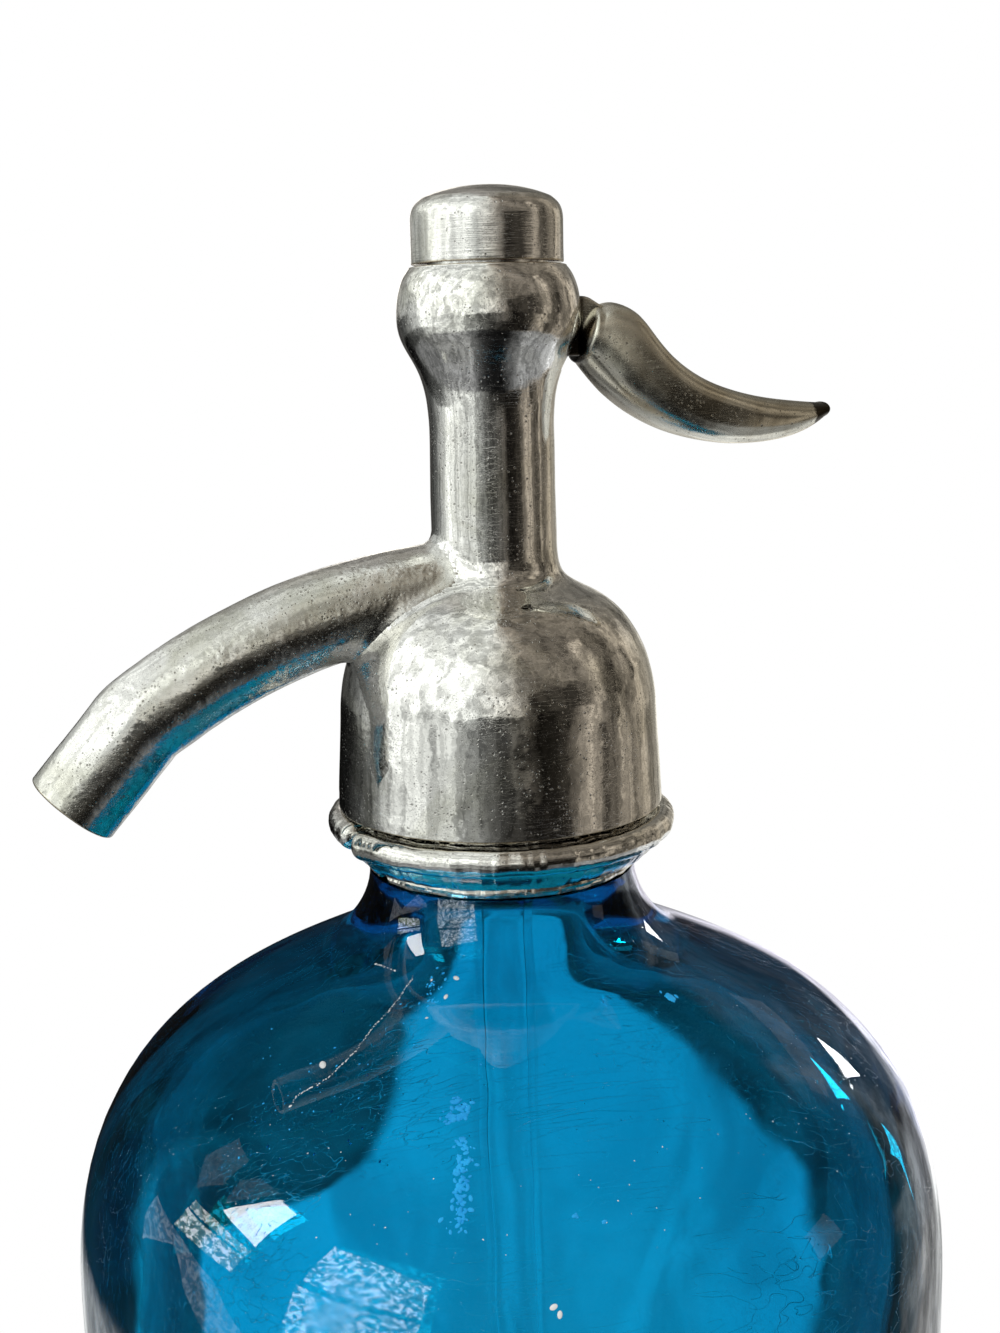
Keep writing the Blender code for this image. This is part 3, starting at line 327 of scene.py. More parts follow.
class LoftTree(GrowthTree):
    """Geometry Nodes that loft rings round a row of stations.

    Each point of the input mesh carries a centre and two half axes. The tree lays a grid over the
    rows and the turn, and places each of its points on its ring.
    """

    def __init__(self) -> None:
        """Build the tree once."""
        super().__init__("ring_loft", (
            ("Rows", "NodeSocketInt", 2),
            ("Steps", "NodeSocketInt", 32),
            ("Start", "NodeSocketFloat", 0.0),
            ("Sweep", "NodeSocketFloat", math.tau),
            ("Merge", "NodeSocketFloat", MERGE_DISTANCE),
        ))
        self._wire()

    def _scaled(self, vector: Socket, factor: Socket) -> Socket:
        """Scale a vector by a factor.

        Args:
            vector: The vector.
            factor: The factor.

        Returns:
            The scaled vector's socket.
        """
        node = self._node("ShaderNodeVectorMath", operation="SCALE")
        self.tree.links.new(vector, node.inputs[0])
        self.tree.links.new(factor, node.inputs["Scale"])
        return node.outputs[0]

    def _sampled(self, name: str, source: Socket, row: Socket) -> Socket:
        """Read a vector that the stations carry, at a row.

        Args:
            name: The vector's name.
            source: The stations.
            row: The row.

        Returns:
            The vector's socket.
        """
        sample = self._node("GeometryNodeSampleIndex", data_type="FLOAT_VECTOR", domain="POINT")
        self.tree.links.new(source, sample.inputs["Geometry"])
        self.tree.links.new(self._stored(name), sample.inputs["Value"])
        self.tree.links.new(row, sample.inputs["Index"])
        return sample.outputs["Value"]

    def _squared(self, wave: Socket, power: Socket) -> Socket:
        """Raise a wave to a power and keep its sign."""
        size = self._math("POWER", self._math("ABSOLUTE", wave), power)
        return self._math("MULTIPLY", size, self._math("SIGN", wave))

    def _wire(self) -> None:
        """Lay out the nodes and link them."""
        links = self.tree.links
        given = self.given
        steps = self._math("ADD", given["Steps"], 1.0)
        grid = self._node("GeometryNodeMeshGrid")
        grid.inputs["Size X"].default_value = 1.0
        grid.inputs["Size Y"].default_value = 1.0
        links.new(given["Rows"], grid.inputs["Vertices X"])
        links.new(steps, grid.inputs["Vertices Y"])
        place = self._node("ShaderNodeSeparateXYZ")
        links.new(self._node("GeometryNodeInputPosition").outputs[0], place.inputs[0])
        last_row = self._math("SUBTRACT", given["Rows"], 1.0)
        from_first = self._math("ADD", place.outputs["X"], 0.5)
        row = self._math("ROUND", self._math("MULTIPLY", from_first, last_row))
        turn = self._math("MULTIPLY", self._math("ADD", place.outputs["Y"], 0.5), given["Sweep"])
        angle = self._math("ADD", turn, given["Start"])
        source = given["Source"]
        powers = self._node("ShaderNodeSeparateXYZ")
        links.new(self._sampled("powers", source, row), powers.inputs[0])
        side = self._squared(self._math("COSINE", angle), powers.outputs["X"])
        rise = self._squared(self._math("SINE", angle), powers.outputs["Y"])
        across = self._scaled(self._sampled("across", source, row), side)
        along = self._scaled(self._sampled("along", source, row), rise)
        offset = self._node("ShaderNodeVectorMath", operation="ADD")
        links.new(across, offset.inputs[0])
        links.new(along, offset.inputs[1])
        total = self._node("ShaderNodeVectorMath", operation="ADD")
        links.new(self._sampled("centre", source, row), total.inputs[0])
        links.new(offset.outputs[0], total.inputs[1])
        moved = self._node("GeometryNodeSetPosition")
        links.new(grid.outputs["Mesh"], moved.inputs["Geometry"])
        links.new(total.outputs[0], moved.inputs["Position"])
        merged = self._node("GeometryNodeMergeByDistance")
        links.new(moved.outputs["Geometry"], merged.inputs["Geometry"])
        links.new(given["Merge"], merged.inputs["Distance"])
        self._end(merged.outputs["Geometry"])

    def build(
        self, name: str, stations: list[Station], finish: Material, steps: int, *,
        start: float = 0.0, sweep: float = math.tau,
    ) -> Mesh:
        """Loft one mesh.

        Args:
            name: The mesh's name.
            stations: The rings in order.
            finish: The material that the mesh wears.
            steps: Points round each ring.
            start: Angle of each ring's first point.
            sweep: How far each ring turns.

        Returns:
            The plain mesh, with its doubles merged.
        """
        carried = {
            label: [getattr(station, label) for station in stations]
            for label in ("centre", "across", "along", "powers")
        }
        given = {
            "Rows": len(stations), "Steps": steps, "Start": start, "Sweep": sweep,
            "Merge": MERGE_DISTANCE, "Finish": finish,
        }
        return self.grow(name, carried["centre"], carried, given)


class GrainTree(GrowthTree):
    """Geometry Nodes that lay a flattened grain on each point, turned to the way that the point faces."""

    def __init__(self) -> None:
        """Build the tree once."""
        super().__init__("grain_scatter", (("Seed", "NodeSocketInt", 3),))
        links = self.tree.links
        grain = self._node("GeometryNodeMeshIcoSphere")
        grain.inputs["Radius"].default_value = 1.0
        grain.inputs["Subdivisions"].default_value = 2
        facing = self._node("FunctionNodeAlignRotationToVector", axis="Z")
        links.new(self._stored("facing"), facing.inputs["Vector"])
        chance = self._node("FunctionNodeRandomValue", data_type="FLOAT")
        chance.inputs["Max"].default_value = math.tau
        links.new(self.given["Seed"], chance.inputs["Seed"])
        twist = self._node("FunctionNodeAxisAngleToRotation")
        links.new(next(item for item in chance.outputs if item.type == "VALUE"), twist.inputs["Angle"])
        turned = self._node("FunctionNodeRotateRotation", rotation_space="LOCAL")
        links.new(facing.outputs[0], turned.inputs[0])
        links.new(twist.outputs[0], turned.inputs[1])
        placed = self._node("GeometryNodeInstanceOnPoints")
        links.new(self.given["Source"], placed.inputs["Points"])
        links.new(grain.outputs["Mesh"], placed.inputs["Instance"])
        links.new(turned.outputs[0], placed.inputs["Rotation"])
        links.new(self._stored("size"), placed.inputs["Scale"])
        self._end(placed.outputs["Instances"])


LOFT = LoftTree()
GRAINS = GrainTree()


def turned_stations(profile: Run) -> list[Station]:
    """Stations of a shape that is turned about the Z axis, from its (radius, height) profile."""
    return [Station(Vector((0, 0, z)), Vector((r, 0, 0)), Vector((0, r, 0))) for r, z in profile]


def edit_mesh(mesh: Mesh) -> Mesh:
    """Merge a mesh's doubles, close its holes and turn its faces out.

    Args:
        mesh: The mesh to change.

    Returns:
        The same mesh.
    """
    shape = bmesh.new()
    shape.from_mesh(mesh)
    bmesh.ops.remove_doubles(shape, verts=shape.verts, dist=MERGE_DISTANCE)
    bmesh.ops.dissolve_degenerate(shape, dist=MERGE_DISTANCE / 2, edges=shape.edges)
    bmesh.ops.holes_fill(shape, edges=[edge for edge in shape.edges if edge.is_boundary])
    bmesh.ops.recalc_face_normals(shape, faces=shape.faces)
    shape.to_mesh(mesh)
    shape.free()
    return mesh


def points_of(mesh: Mesh) -> np.ndarray:
    """A mesh's points as rows of x, y and z.

    Args:
        mesh: The mesh.

    Returns:
        One row for each point.
    """
    co = np.zeros(len(mesh.vertices) * 3, np.float32)
    mesh.vertices.foreach_get("co", co)
    return co.reshape(-1, 3).astype(float)


def move_points(mesh: Mesh, co: np.ndarray) -> None:
    """Give a mesh new points."""
    mesh.vertices.foreach_set("co", co.astype(np.float32).ravel())
    mesh.update()


def normals_of(mesh: Mesh) -> np.ndarray:
    """A mesh's point normals as rows.

    Args:
        mesh: The mesh.

    Returns:
        One row for each point.
    """
    normals = np.zeros(len(mesh.vertices) * 3, np.float32)
    mesh.vertex_normals.foreach_get("vector", normals)
    return normals.reshape(-1, 3).astype(float)


def ripple(mesh: Mesh, size: float, depth: float, seed: float, kept: np.ndarray | None = None) -> None:
    """Push a mesh's points in and out along their normals by smooth noise.

    Args:
        mesh: The mesh to change.
        size: Width of one swell.
        depth: Height of the swells.
        seed: Place in the noise.
        kept: Share of the swell that each point takes, or None for all of it.
    """
    co = points_of(mesh)
    shift = Vector((seed, seed * 2, seed * 3))
    swell = np.array([noise.noise(Vector(point) / size + shift) for point in co])
    if kept is not None:
        swell = swell * kept
    move_points(mesh, co + normals_of(mesh) * (swell * depth)[:, None])


def mark_edges(mesh: Mesh, flat: float = 260.0, sharp: float = 1700.0) -> None:
    """Store how strongly each point stands on an outer edge, from 0 to 1, for the wear in the finishes.

    Args:
        mesh: The mesh to mark.
        flat: Curvature, in turns per metre, that counts as no edge.
        sharp: Curvature that counts as a full edge.
    """
    co, normals = points_of(mesh), normals_of(mesh)
    pairs = np.zeros(len(mesh.edges) * 2, np.int32)
    mesh.edges.foreach_get("vertices", pairs)
    pairs = pairs.reshape(-1, 2)
    span = co[pairs[:, 0]] - co[pairs[:, 1]]
    turn = normals[pairs[:, 0]] - normals[pairs[:, 1]]
    bent = (span * turn).sum(1) / np.maximum((span * span).sum(1), 1e-12)
    total, count = np.zeros(len(co)), np.zeros(len(co))
    for side in (0, 1):
        np.add.at(total, pairs[:, side], bent)
        np.add.at(count, pairs[:, side], 1)
    curve = total / np.maximum(count, 1)
    edge = np.clip((curve - flat) / (sharp - flat), 0, 1)
    layer = mesh.attributes.get("edge") or mesh.attributes.new("edge", "FLOAT", "POINT")
    layer.data.foreach_set("value", edge.astype(np.float32))


def stand(
    name: str, mesh: Mesh, finish: Material, slot: Slot, body: Body, *nodes: str,
) -> bpy.types.Object:
    """Stand a finished mesh in the scene in place of CAD nodes.

    Args:
        name: The piece's name.
        mesh: Its mesh, placed in the frame.
        finish: Its material.
        slot: The record's slot of that finish. Not used.
        body: The body that it moves with.
        nodes: The CAD nodes that it stands for.

    Returns:
        The new object.
    """
    mesh.materials.clear()
    mesh.materials.append(finish)
    mesh.shade_smooth()
    mesh.set_sharp_from_angle(angle=SHARP_ANGLE)
    mark_edges(mesh)
    piece = bpy.data.objects.new(name, mesh)
    bpy.context.scene.collection.objects.link(piece)
    if nodes:
        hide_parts(*nodes)
    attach(piece, body.value)
    LOG.info("%s: %d faces, rides on %s", name, len(mesh.polygons), body.value)
    return piece


def dress(finish: Material, *nodes: str) -> None:
    """Give CAD nodes that stay a better finish.

    Args:
        finish: The material.
        nodes: The nodes that take it.
    """
    for node in nodes:
        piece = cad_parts[node]
        piece.data.materials.clear()
        piece.data.materials.append(finish)
        LOG.info("%s: dressed with %s", node, finish.name)


def combined(mesh: Mesh, cutter: Mesh, operation: str) -> Mesh:
    """Cut or join two meshes with an exact Boolean.

    Args:
        mesh: The mesh that is changed.
        cutter: The other mesh, which is used up.
        operation: DIFFERENCE, UNION or INTERSECT.

    Returns:
        The new mesh.
    """
    target = bpy.data.objects.new("target", mesh)
    other = bpy.data.objects.new("other", cutter)
    for item in (target, other):
        bpy.context.scene.collection.objects.link(item)
    change = target.modifiers.new("Change", "BOOLEAN")
    change.operation = operation
    change.solver = "EXACT"
    change.object = other
    bpy.context.view_layer.update()
    result = bpy.data.meshes.new_from_object(target.evaluated_get(bpy.context.evaluated_depsgraph_get()))
    result.name = mesh.name
    target.modifiers.clear()
    for item in (target, other):
        bpy.data.objects.remove(item)
    return result


def box_mesh(low: Point, high: Point) -> Mesh:
    """A box between two corners.

    Args:
        low: The lowest corner.
        high: The highest corner.

    Returns:
        The box.
    """
    low_corner, high_corner = Vector(low), Vector(high)
    mesh = bpy.data.meshes.new("box")
    shape = bmesh.new()
    bmesh.ops.create_cube(shape, size=1.0)
    place = Matrix.Translation((low_corner + high_corner) / 2)
    place = place @ Matrix.Diagonal((*(high_corner - low_corner), 1.0))
    bmesh.ops.transform(shape, matrix=place, verts=shape.verts)
    shape.to_mesh(mesh)
    shape.free()
    return mesh


def rod_stations(start: Vector, end: Vector, radius: float, ease: float) -> list[Station]:
    """Stations of a straight rod with eased ends, from its start to its end.

    Args:
        start: One end.
        end: The other end.
        radius: The rod's radius.
        ease: Rounding of its ends.

    Returns:
        The stations in order.
    """
    heading = (end - start).normalized()
    side = heading.orthogonal().normalized()
    other = heading.cross(side)
    length = (end - start).length
    places = [
        (0.0, 0.0), (radius - ease, 0.0), (radius, ease), (radius, length - ease),
        (radius - ease, length), (0.0, length),
    ]
    return [Station(start + heading * place, side * size, other * size) for size, place in places]


class ShaderKit:
    """Short forms for wiring a material or a shader group."""

    def __init__(self, tree: Tree) -> None:
        """Keep the tree that is wired."""
        self.tree = tree

    def node(self, kind: str, **settings: object) -> Node:
        """Add a node and set its plain properties.

        Args:
            kind: The node's type.
            **settings: Its plain properties.

        Returns:
            The node.
        """
        made = self.tree.nodes.new(kind)
        for name, value in settings.items():
            setattr(made, name, value)
        return made

    def feed(self, socket: Socket, value: object) -> None:
        """Link a socket, or set its plain value.

        Args:
            socket: The input.
            value: A socket or a plain value.
        """
        if isinstance(value, Socket):
            self.tree.links.new(value, socket)
        elif value is not None:
            socket.default_value = value

    def math(self, operation: str, first: object, second: object = None, clamp: bool = False) -> Socket:
        """Add a math node.

        Args:
            operation: The operation.
            first: The first value.
            second: The second value.
            clamp: True to keep the result from 0 to 1.

        Returns:
            The socket of the result.
        """
        made = self.node("ShaderNodeMath", operation=operation, use_clamp=clamp)
        self.feed(made.inputs[0], first)
        self.feed(made.inputs[1], second)
        return made.outputs[0]

    def ramp(
        self, value: object, low: float, high: float, to_low: float = 0.0, to_high: float = 1.0,
    ) -> Socket:
        """Map a value smoothly from one range to another.

        Args:
            value: The value.
            low: Start of its range.
            high: End of its range.
            to_low: Start of the new range.
            to_high: End of the new range.

        Returns:
            The socket of the result.
        """
        made = self.node("ShaderNodeMapRange", interpolation_type="SMOOTHSTEP")
        self.feed(made.inputs["Value"], value)
        given = {"From Min": low, "From Max": high, "To Min": to_low, "To Max": to_high}
        for name, number in given.items():
            made.inputs[name].default_value = number
        return made.outputs["Result"]

    def bands(self, value: object, stops: tuple) -> Socket:
        """Colour a share from 0 to 1 by a row of (share, colour) stops.

        Args:
            value: The share.
            stops: The stops in order.

        Returns:
            The colour's socket.
        """
        made = self.node("ShaderNodeValToRGB")
        ramp = made.color_ramp
        ramp.elements.remove(ramp.elements[-1])
        for index, (share, tone) in enumerate(stops):
            stop = ramp.elements[0] if index == 0 else ramp.elements.new(share)
            stop.position = share
            stop.color = (*tone, 1.0)
        self.feed(made.inputs[0], value)
        return made.outputs[0]

    def parts(self, vector: object) -> Sockets:
        """Split a vector into x, y and z.

        Args:
            vector: The vector.

        Returns:
            The sockets X, Y and Z.
        """
        made = self.node("ShaderNodeSeparateXYZ")
        self.feed(made.inputs[0], vector)
        return made.outputs

    def mixed(self, factor: object, first: object, second: object) -> Socket:
        """Mix two colours.

        Args:
            factor: Share of the second colour.
            first: The first colour.
            second: The second colour.

        Returns:
            The colour's socket.
        """
        made = self.node("ShaderNodeMix", data_type="RGBA")
        self.feed(made.inputs["Factor"], factor)
        self.feed(made.inputs["A"], (*first, 1.0) if isinstance(first, tuple) else first)
        self.feed(made.inputs["B"], (*second, 1.0) if isinstance(second, tuple) else second)
        return made.outputs["Result"]

    def noise(
        self, vector: object, scale: float, detail: float = 2.0, roughness: float = 0.5,
        distortion: float = 0.0,
    ) -> Socket:
        """Add a noise texture and give its value.

        Args:
            vector: The coordinates.
            scale: Its scale.
            detail: Its finer layers.
            roughness: How strong those are.
            distortion: How far it is warped.

        Returns:
            The value's socket.
        """
        made = self.node("ShaderNodeTexNoise")
        self.feed(made.inputs["Vector"], vector)
        given = {"Scale": scale, "Detail": detail, "Roughness": roughness, "Distortion": distortion}
        for name, number in given.items():
            self.feed(made.inputs[name], number)
        return made.outputs[0]

    def wander(self, vector: object, scale: float, reach: float, roughness: float = 0.6) -> Socket:
        """Add a noise that strays to both sides of zero."""
        stray = self.math("SUBTRACT", self.noise(vector, scale, 3.0, roughness), 0.5)
        return self.math("MULTIPLY", stray, reach)

    def share_of_turn(self, vector: object) -> Socket:
        """Give the turn round the Z axis as a share, 0.5 on the side of -Y and 0.75 on that of +X.

        Args:
            vector: The coordinates.

        Returns:
            The share's socket.
        """
        parts = self.parts(vector)
        turn = self.math("ARCTAN2", parts["X"], self.math("MULTIPLY", parts["Y"], -1.0))
        return self.math("ADD", self.math("DIVIDE", turn, math.tau), 0.5)

    def mapped(
        self, vector: object, scale: tuple = (1, 1, 1), turn: tuple = (0, 0, 0), shift: tuple = (0, 0, 0),
    ) -> Socket:
        """Scale, turn and shift coordinates.

        Args:
            vector: The coordinates.
            scale: Factors along the axes.
            turn: Angles about the axes.
            shift: Shifts along the axes.

        Returns:
            The new coordinates.
        """
        made = self.node("ShaderNodeMapping")
        self.feed(made.inputs["Vector"], vector)
        made.inputs["Scale"].default_value = scale
        made.inputs["Rotation"].default_value = turn
        made.inputs["Location"].default_value = shift
        return made.outputs[0]

    def bump(self, height: object, depth: float, normal: object = None) -> Socket:
        """Add a bump on top of another normal.

        Args:
            height: The height.
            depth: Its depth in metres.
            normal: The normal under it.

        Returns:
            The normal's socket.
        """
        made = self.node("ShaderNodeBump")
        made.inputs["Strength"].default_value = 1.0
        made.inputs["Distance"].default_value = depth
        self.feed(made.inputs["Height"], height)
        self.feed(made.inputs["Normal"], normal)
        return made.outputs[0]

    def effect(self, group: Tree, **given: object) -> Sockets:
        """Place a shared effect with its own values and give its outputs.

        Args:
            group: The shared effect.
            **given: Its values, with _ for a space in their names.

        Returns:
            Its outputs.
        """
        made = self.node("ShaderNodeGroup", node_tree=group)
        for name, value in given.items():
            self.feed(made.inputs[name.replace("_", " ")], value)
        return made.outputs


class Effects:
    """Shader effects that several finishes share, each built once."""

    def __init__(self) -> None:
        """Build every group."""
        self.pits = self._pits()
        self.scratches = self._scratches()
        self.patches = self._patches()
        self.wear = self._wear()

    @staticmethod
    def _group(name: str, inputs: tuple, outputs: tuple) -> tuple[Tree, ShaderKit, Sockets, Sockets]:
        """Start a group with named inputs and outputs.

        Args:
            name: The group's name.
            inputs: Its inputs as (name, kind, value).
            outputs: Names of its outputs.

        Returns:
            The group, its wiring kit, its given values and its wanted ones.
        """
        tree = bpy.data.node_groups.new(name, "ShaderNodeTree")
        for label, kind, value in inputs:
            socket = tree.interface.new_socket(label, in_out="INPUT", socket_type=kind)
            if value is not None:
                socket.default_value = value
        for label in outputs:
            tree.interface.new_socket(label, in_out="OUTPUT", socket_type="NodeSocketFloat")
        kit = ShaderKit(tree)
        return tree, kit, kit.node("NodeGroupInput").outputs, kit.node("NodeGroupOutput").inputs

    def _pits(self) -> Tree:
        """Small round pits that gather in clusters.

        Returns:
            The group.
        """
        tree, kit, given, wanted = self._group(
            "surface_pits",
            (
                ("Vector", "NodeSocketVector", None), ("Scale", "NodeSocketFloat", 1500.0),
                ("Share", "NodeSocketFloat", 0.3), ("Reach", "NodeSocketFloat", 0.35),
                ("Cluster Scale", "NodeSocketFloat", 150.0),
            ),
            ("Mask", "Height"),
        )
        cells = kit.node("ShaderNodeTexVoronoi")
        kit.feed(cells.inputs["Vector"], given["Vector"])
        kit.feed(cells.inputs["Scale"], given["Scale"])
        chance = kit.node("ShaderNodeSeparateColor")
        kit.feed(chance.inputs[0], cells.outputs["Color"])
        cluster = kit.noise(given["Vector"], given["Cluster Scale"], 3.0, 0.6)
        allowed = kit.math("MULTIPLY", kit.ramp(cluster, 0.38, 0.66, 0.15, 1.9), given["Share"])
        chosen = kit.math("LESS_THAN", chance.outputs[0], allowed)
        reach = kit.math("MULTIPLY", given["Reach"], kit.math("ADD", chance.outputs[1], 0.35))
        inside = kit.math("SUBTRACT", 1.0, kit.math("DIVIDE", cells.outputs["Distance"], reach), clamp=True)
        mask = kit.math("MULTIPLY", kit.ramp(inside, 0.0, 0.5), chosen)
        kit.feed(wanted["Mask"], mask)
        kit.feed(wanted["Height"], kit.math("MULTIPLY", mask, -1.0))
        return tree

    def _scratches(self) -> Tree:
        """Fine lines that run in three directions and break off.

        Returns:
            The group.
        """
        tree, kit, given, wanted = self._group(
            "fine_scratches",
            (
                ("Vector", "NodeSocketVector", None), ("Scale", "NodeSocketFloat", 120.0),
                ("Width", "NodeSocketFloat", 0.012), ("Share", "NodeSocketFloat", 0.5),
            ),
            ("Mask",),
        )
        total: object = 0.0
        for turn, stretch in (((0.2, 0.1, 0.6), 9.0), ((1.1, 0.5, -0.8), 12.0), ((-0.6, 1.2, 2.1), 7.0)):
            field_vector = kit.mapped(given["Vector"], (1.0, stretch, stretch), turn)
            lines = kit.noise(field_vector, given["Scale"], 1.0, 0.4, 0.3)
            offset = kit.math("ABSOLUTE", kit.math("SUBTRACT", lines, 0.5))
            line = kit.math("SUBTRACT", 1.0, kit.math("DIVIDE", offset, given["Width"]), clamp=True)
            broken = kit.noise(kit.mapped(given["Vector"], turn=turn, shift=turn), given["Scale"], 2.0)
            part = kit.math("GREATER_THAN", broken, kit.math("SUBTRACT", 1.0, given["Share"]))
            total = kit.math("MAXIMUM", total, kit.math("MULTIPLY", line, part))
        kit.feed(wanted["Mask"], total)
        return tree

    def _patches(self) -> Tree:
        """Soft irregular patches, for stains, haze and thin plating.

        Returns:
            The group.
        """
        tree, kit, given, wanted = self._group(
            "soft_patches",
            (
                ("Vector", "NodeSocketVector", None), ("Scale", "NodeSocketFloat", 60.0),
                ("Level", "NodeSocketFloat", 0.5), ("Softness", "NodeSocketFloat", 0.1),
            ),
            ("Mask",),
        )
        value = kit.noise(given["Vector"], given["Scale"], 5.0, 0.62, 0.6)
        rise = kit.math("DIVIDE", kit.math("SUBTRACT", value, given["Level"]), given["Softness"])
        kit.feed(wanted["Mask"], kit.math("ADD", rise, 0.5, clamp=True))
        return tree

    def _wear(self) -> Tree:
        """Wear that eats in from the outer edges.

        Returns:
            The group.
        """
        tree, kit, given, wanted = self._group(
            "edge_wear",
            (
                ("Vector", "NodeSocketVector", None), ("Edge", "NodeSocketFloat", 0.0),
                ("Scale", "NodeSocketFloat", 500.0), ("Amount", "NodeSocketFloat", 0.5),
            ),
            ("Mask",),
        )
        ragged = kit.noise(given["Vector"], given["Scale"], 4.0, 0.7)
        level = kit.math("ADD", given["Edge"], kit.math("MULTIPLY", kit.math("SUBTRACT", ragged, 0.5), 0.9))
        start = kit.math("SUBTRACT", 1.0, given["Amount"])
        rise = kit.math("DIVIDE", kit.math("SUBTRACT", level, start), 0.25)
        kit.feed(wanted["Mask"], kit.math("ADD", rise, 0.5, clamp=True))
        return tree


EFFECTS = Effects()


def start_finish(name: str) -> tuple[Material, ShaderKit, Node, Socket]:
    """Start a material.

    Args:
        name: The material's name.

    Returns:
        The material, its wiring kit, its Principled shader and its object coordinates.
    """
    finish = bpy.data.materials.new(name)
    finish.use_nodes = True
    kit = ShaderKit(finish.node_tree)
    shader = finish.node_tree.nodes["Principled BSDF"]
    place = kit.node("ShaderNodeTexCoord").outputs["Object"]
    return finish, kit, shader, place


@dataclass(frozen=True)
class PlatingFinish:
    """Old plating on a cast or drawn piece: bright, pitted, hazy in patches and worn at its edges; where
    asked, also darker at a tip and with painted shade on a neck.
    """

    name: str
    plate: Colour = (0.93, 0.92, 0.90)
    thin: Colour = (0.68, 0.67, 0.60)
    pit: Colour = (0.10, 0.085, 0.07)
    edge: Colour = (0.60, 0.53, 0.41)
    roughness: float = 0.02
    haze: float = 0.06
    grain_depth: float = 0.004 * MM
    grain_scale: float = 1900.0
    pit_share: float = 0.24
    pit_depth: float = 0.02 * MM
    scratch_share: float = 0.5
    ring_lines: float = 0.0
    thin_level: float = 0.58
    wear_amount: float = 0.35
    swell_depth: float = 0.09 * MM
    # The next fields darken the colour along X: past the first reach the tip turns dark, and short of the
    # second the neck takes painted shade in place of the horn's shadow.
    dark_from: float = 0.0
    neck_shade_to: float = 0.0
    dark_fade: float = 0.15 * MM
    neck_shade_fade: float = 0.8 * MM
    dark: Colour = (0.045, 0.036, 0.026)
    pit_scale: float = 2500.0
    speck_scale: float = 6200.0
    scratch_scale: float = 170.0
    haze_scale: float = 120.0
    thin_scale: float = 75.0
    wear_scale: float = 700.0
    swell_scale: float = 150.0
    ripple_scale: float = 620.0
    ripple_share: float = 0.34
    line_depth: float = 0.0025 * MM
    least_rough: float = 0.025

    def make(self) -> Material:
        """Build the material.

        Returns:
            The material.
        """
        finish, kit, shader, place = start_finish(self.name)
        pits = kit.effect(
            EFFECTS.pits, Vector=place, Scale=self.pit_scale, Share=self.pit_share, Reach=0.36,
            Cluster_Scale=150.0,
        )
        specks = kit.effect(
            EFFECTS.pits, Vector=place, Scale=self.speck_scale, Share=self.pit_share * 1.6, Reach=0.5,
            Cluster_Scale=260.0,
        )
        lines = kit.effect(
            EFFECTS.scratches, Vector=place, Scale=self.scratch_scale, Width=0.008, Share=self.scratch_share,
        )
        haze = kit.effect(EFFECTS.patches, Vector=place, Scale=self.haze_scale, Level=0.5, Softness=0.28)
        thin = kit.effect(
            EFFECTS.patches, Vector=place, Scale=self.thin_scale, Level=self.thin_level, Softness=0.22,
        )
        edge = kit.node("ShaderNodeAttribute", attribute_type="GEOMETRY", attribute_name="edge")
        wear = kit.effect(
            EFFECTS.wear, Vector=place, Edge=edge.outputs["Fac"], Scale=self.wear_scale,
            Amount=self.wear_amount,
        )
        grain = kit.noise(place, self.grain_scale, 1.0, 0.5)
        rough_patch = kit.ramp(kit.noise(place, 210.0, 3.0, 0.6), 0.35, 0.68, 0.25, 1.75)
        colour = kit.mixed(thin["Mask"], self.plate, self.thin)
        colour = kit.mixed(wear["Mask"], colour, self.edge)
        faint = kit.math("MULTIPLY", specks["Mask"], 0.4)
        dark = kit.math("MAXIMUM", kit.math("MULTIPLY", pits["Mask"], 0.75), faint)
        colour = kit.mixed(kit.math("MULTIPLY", dark, 0.7), colour, self.pit)
        # Darker tip, and painted shade on the neck by the hub.
        if self.dark_from:
            colour = self._dark_tip_and_painted_neck_shade(kit, place, colour)
        kit.feed(shader.inputs["Base Color"], colour)
        rough = kit.math("ADD", self.roughness, kit.math("MULTIPLY", haze["Mask"], self.haze))
        rough = kit.math("ADD", rough, kit.math("MULTIPLY", kit.math("SUBTRACT", grain, 0.5), 0.08))
        rough = kit.math("ADD", rough, kit.math("MULTIPLY", lines["Mask"], 0.07))
        rough = kit.math("ADD", rough, kit.math("MULTIPLY", dark, 0.35))
        rough = kit.math("ADD", rough, kit.math("MULTIPLY", wear["Mask"], 0.12), clamp=True)
        kit.feed(shader.inputs["Roughness"], kit.math("MAXIMUM", rough, self.least_rough))
        shader.inputs["Metallic"].default_value = 1.0
        normal = kit.bump(kit.noise(place, self.swell_scale, 1.0, 0.4), self.swell_depth)
        ripples = kit.noise(place, self.ripple_scale, 1.0, 0.4)
        normal = kit.bump(ripples, self.swell_depth * self.ripple_share, normal=normal)
        normal = kit.bump(kit.math("MULTIPLY", grain, rough_patch), self.grain_depth, normal=normal)
        if self.ring_lines:
            rings = kit.noise(kit.mapped(place, (0.02, 0.02, 1.0)), 2600.0, 3.0, 0.7)
            normal = kit.bump(rings, self.ring_lines, normal=normal)
        normal = kit.bump(kit.math("MULTIPLY", lines["Mask"], -1.0), self.line_depth, normal=normal)
        dents = kit.math("ADD", pits["Height"], kit.math("MULTIPLY", specks["Height"], 0.15))
        kit.feed(shader.inputs["Normal"], kit.bump(dents, self.pit_depth, normal=normal))
        return finish

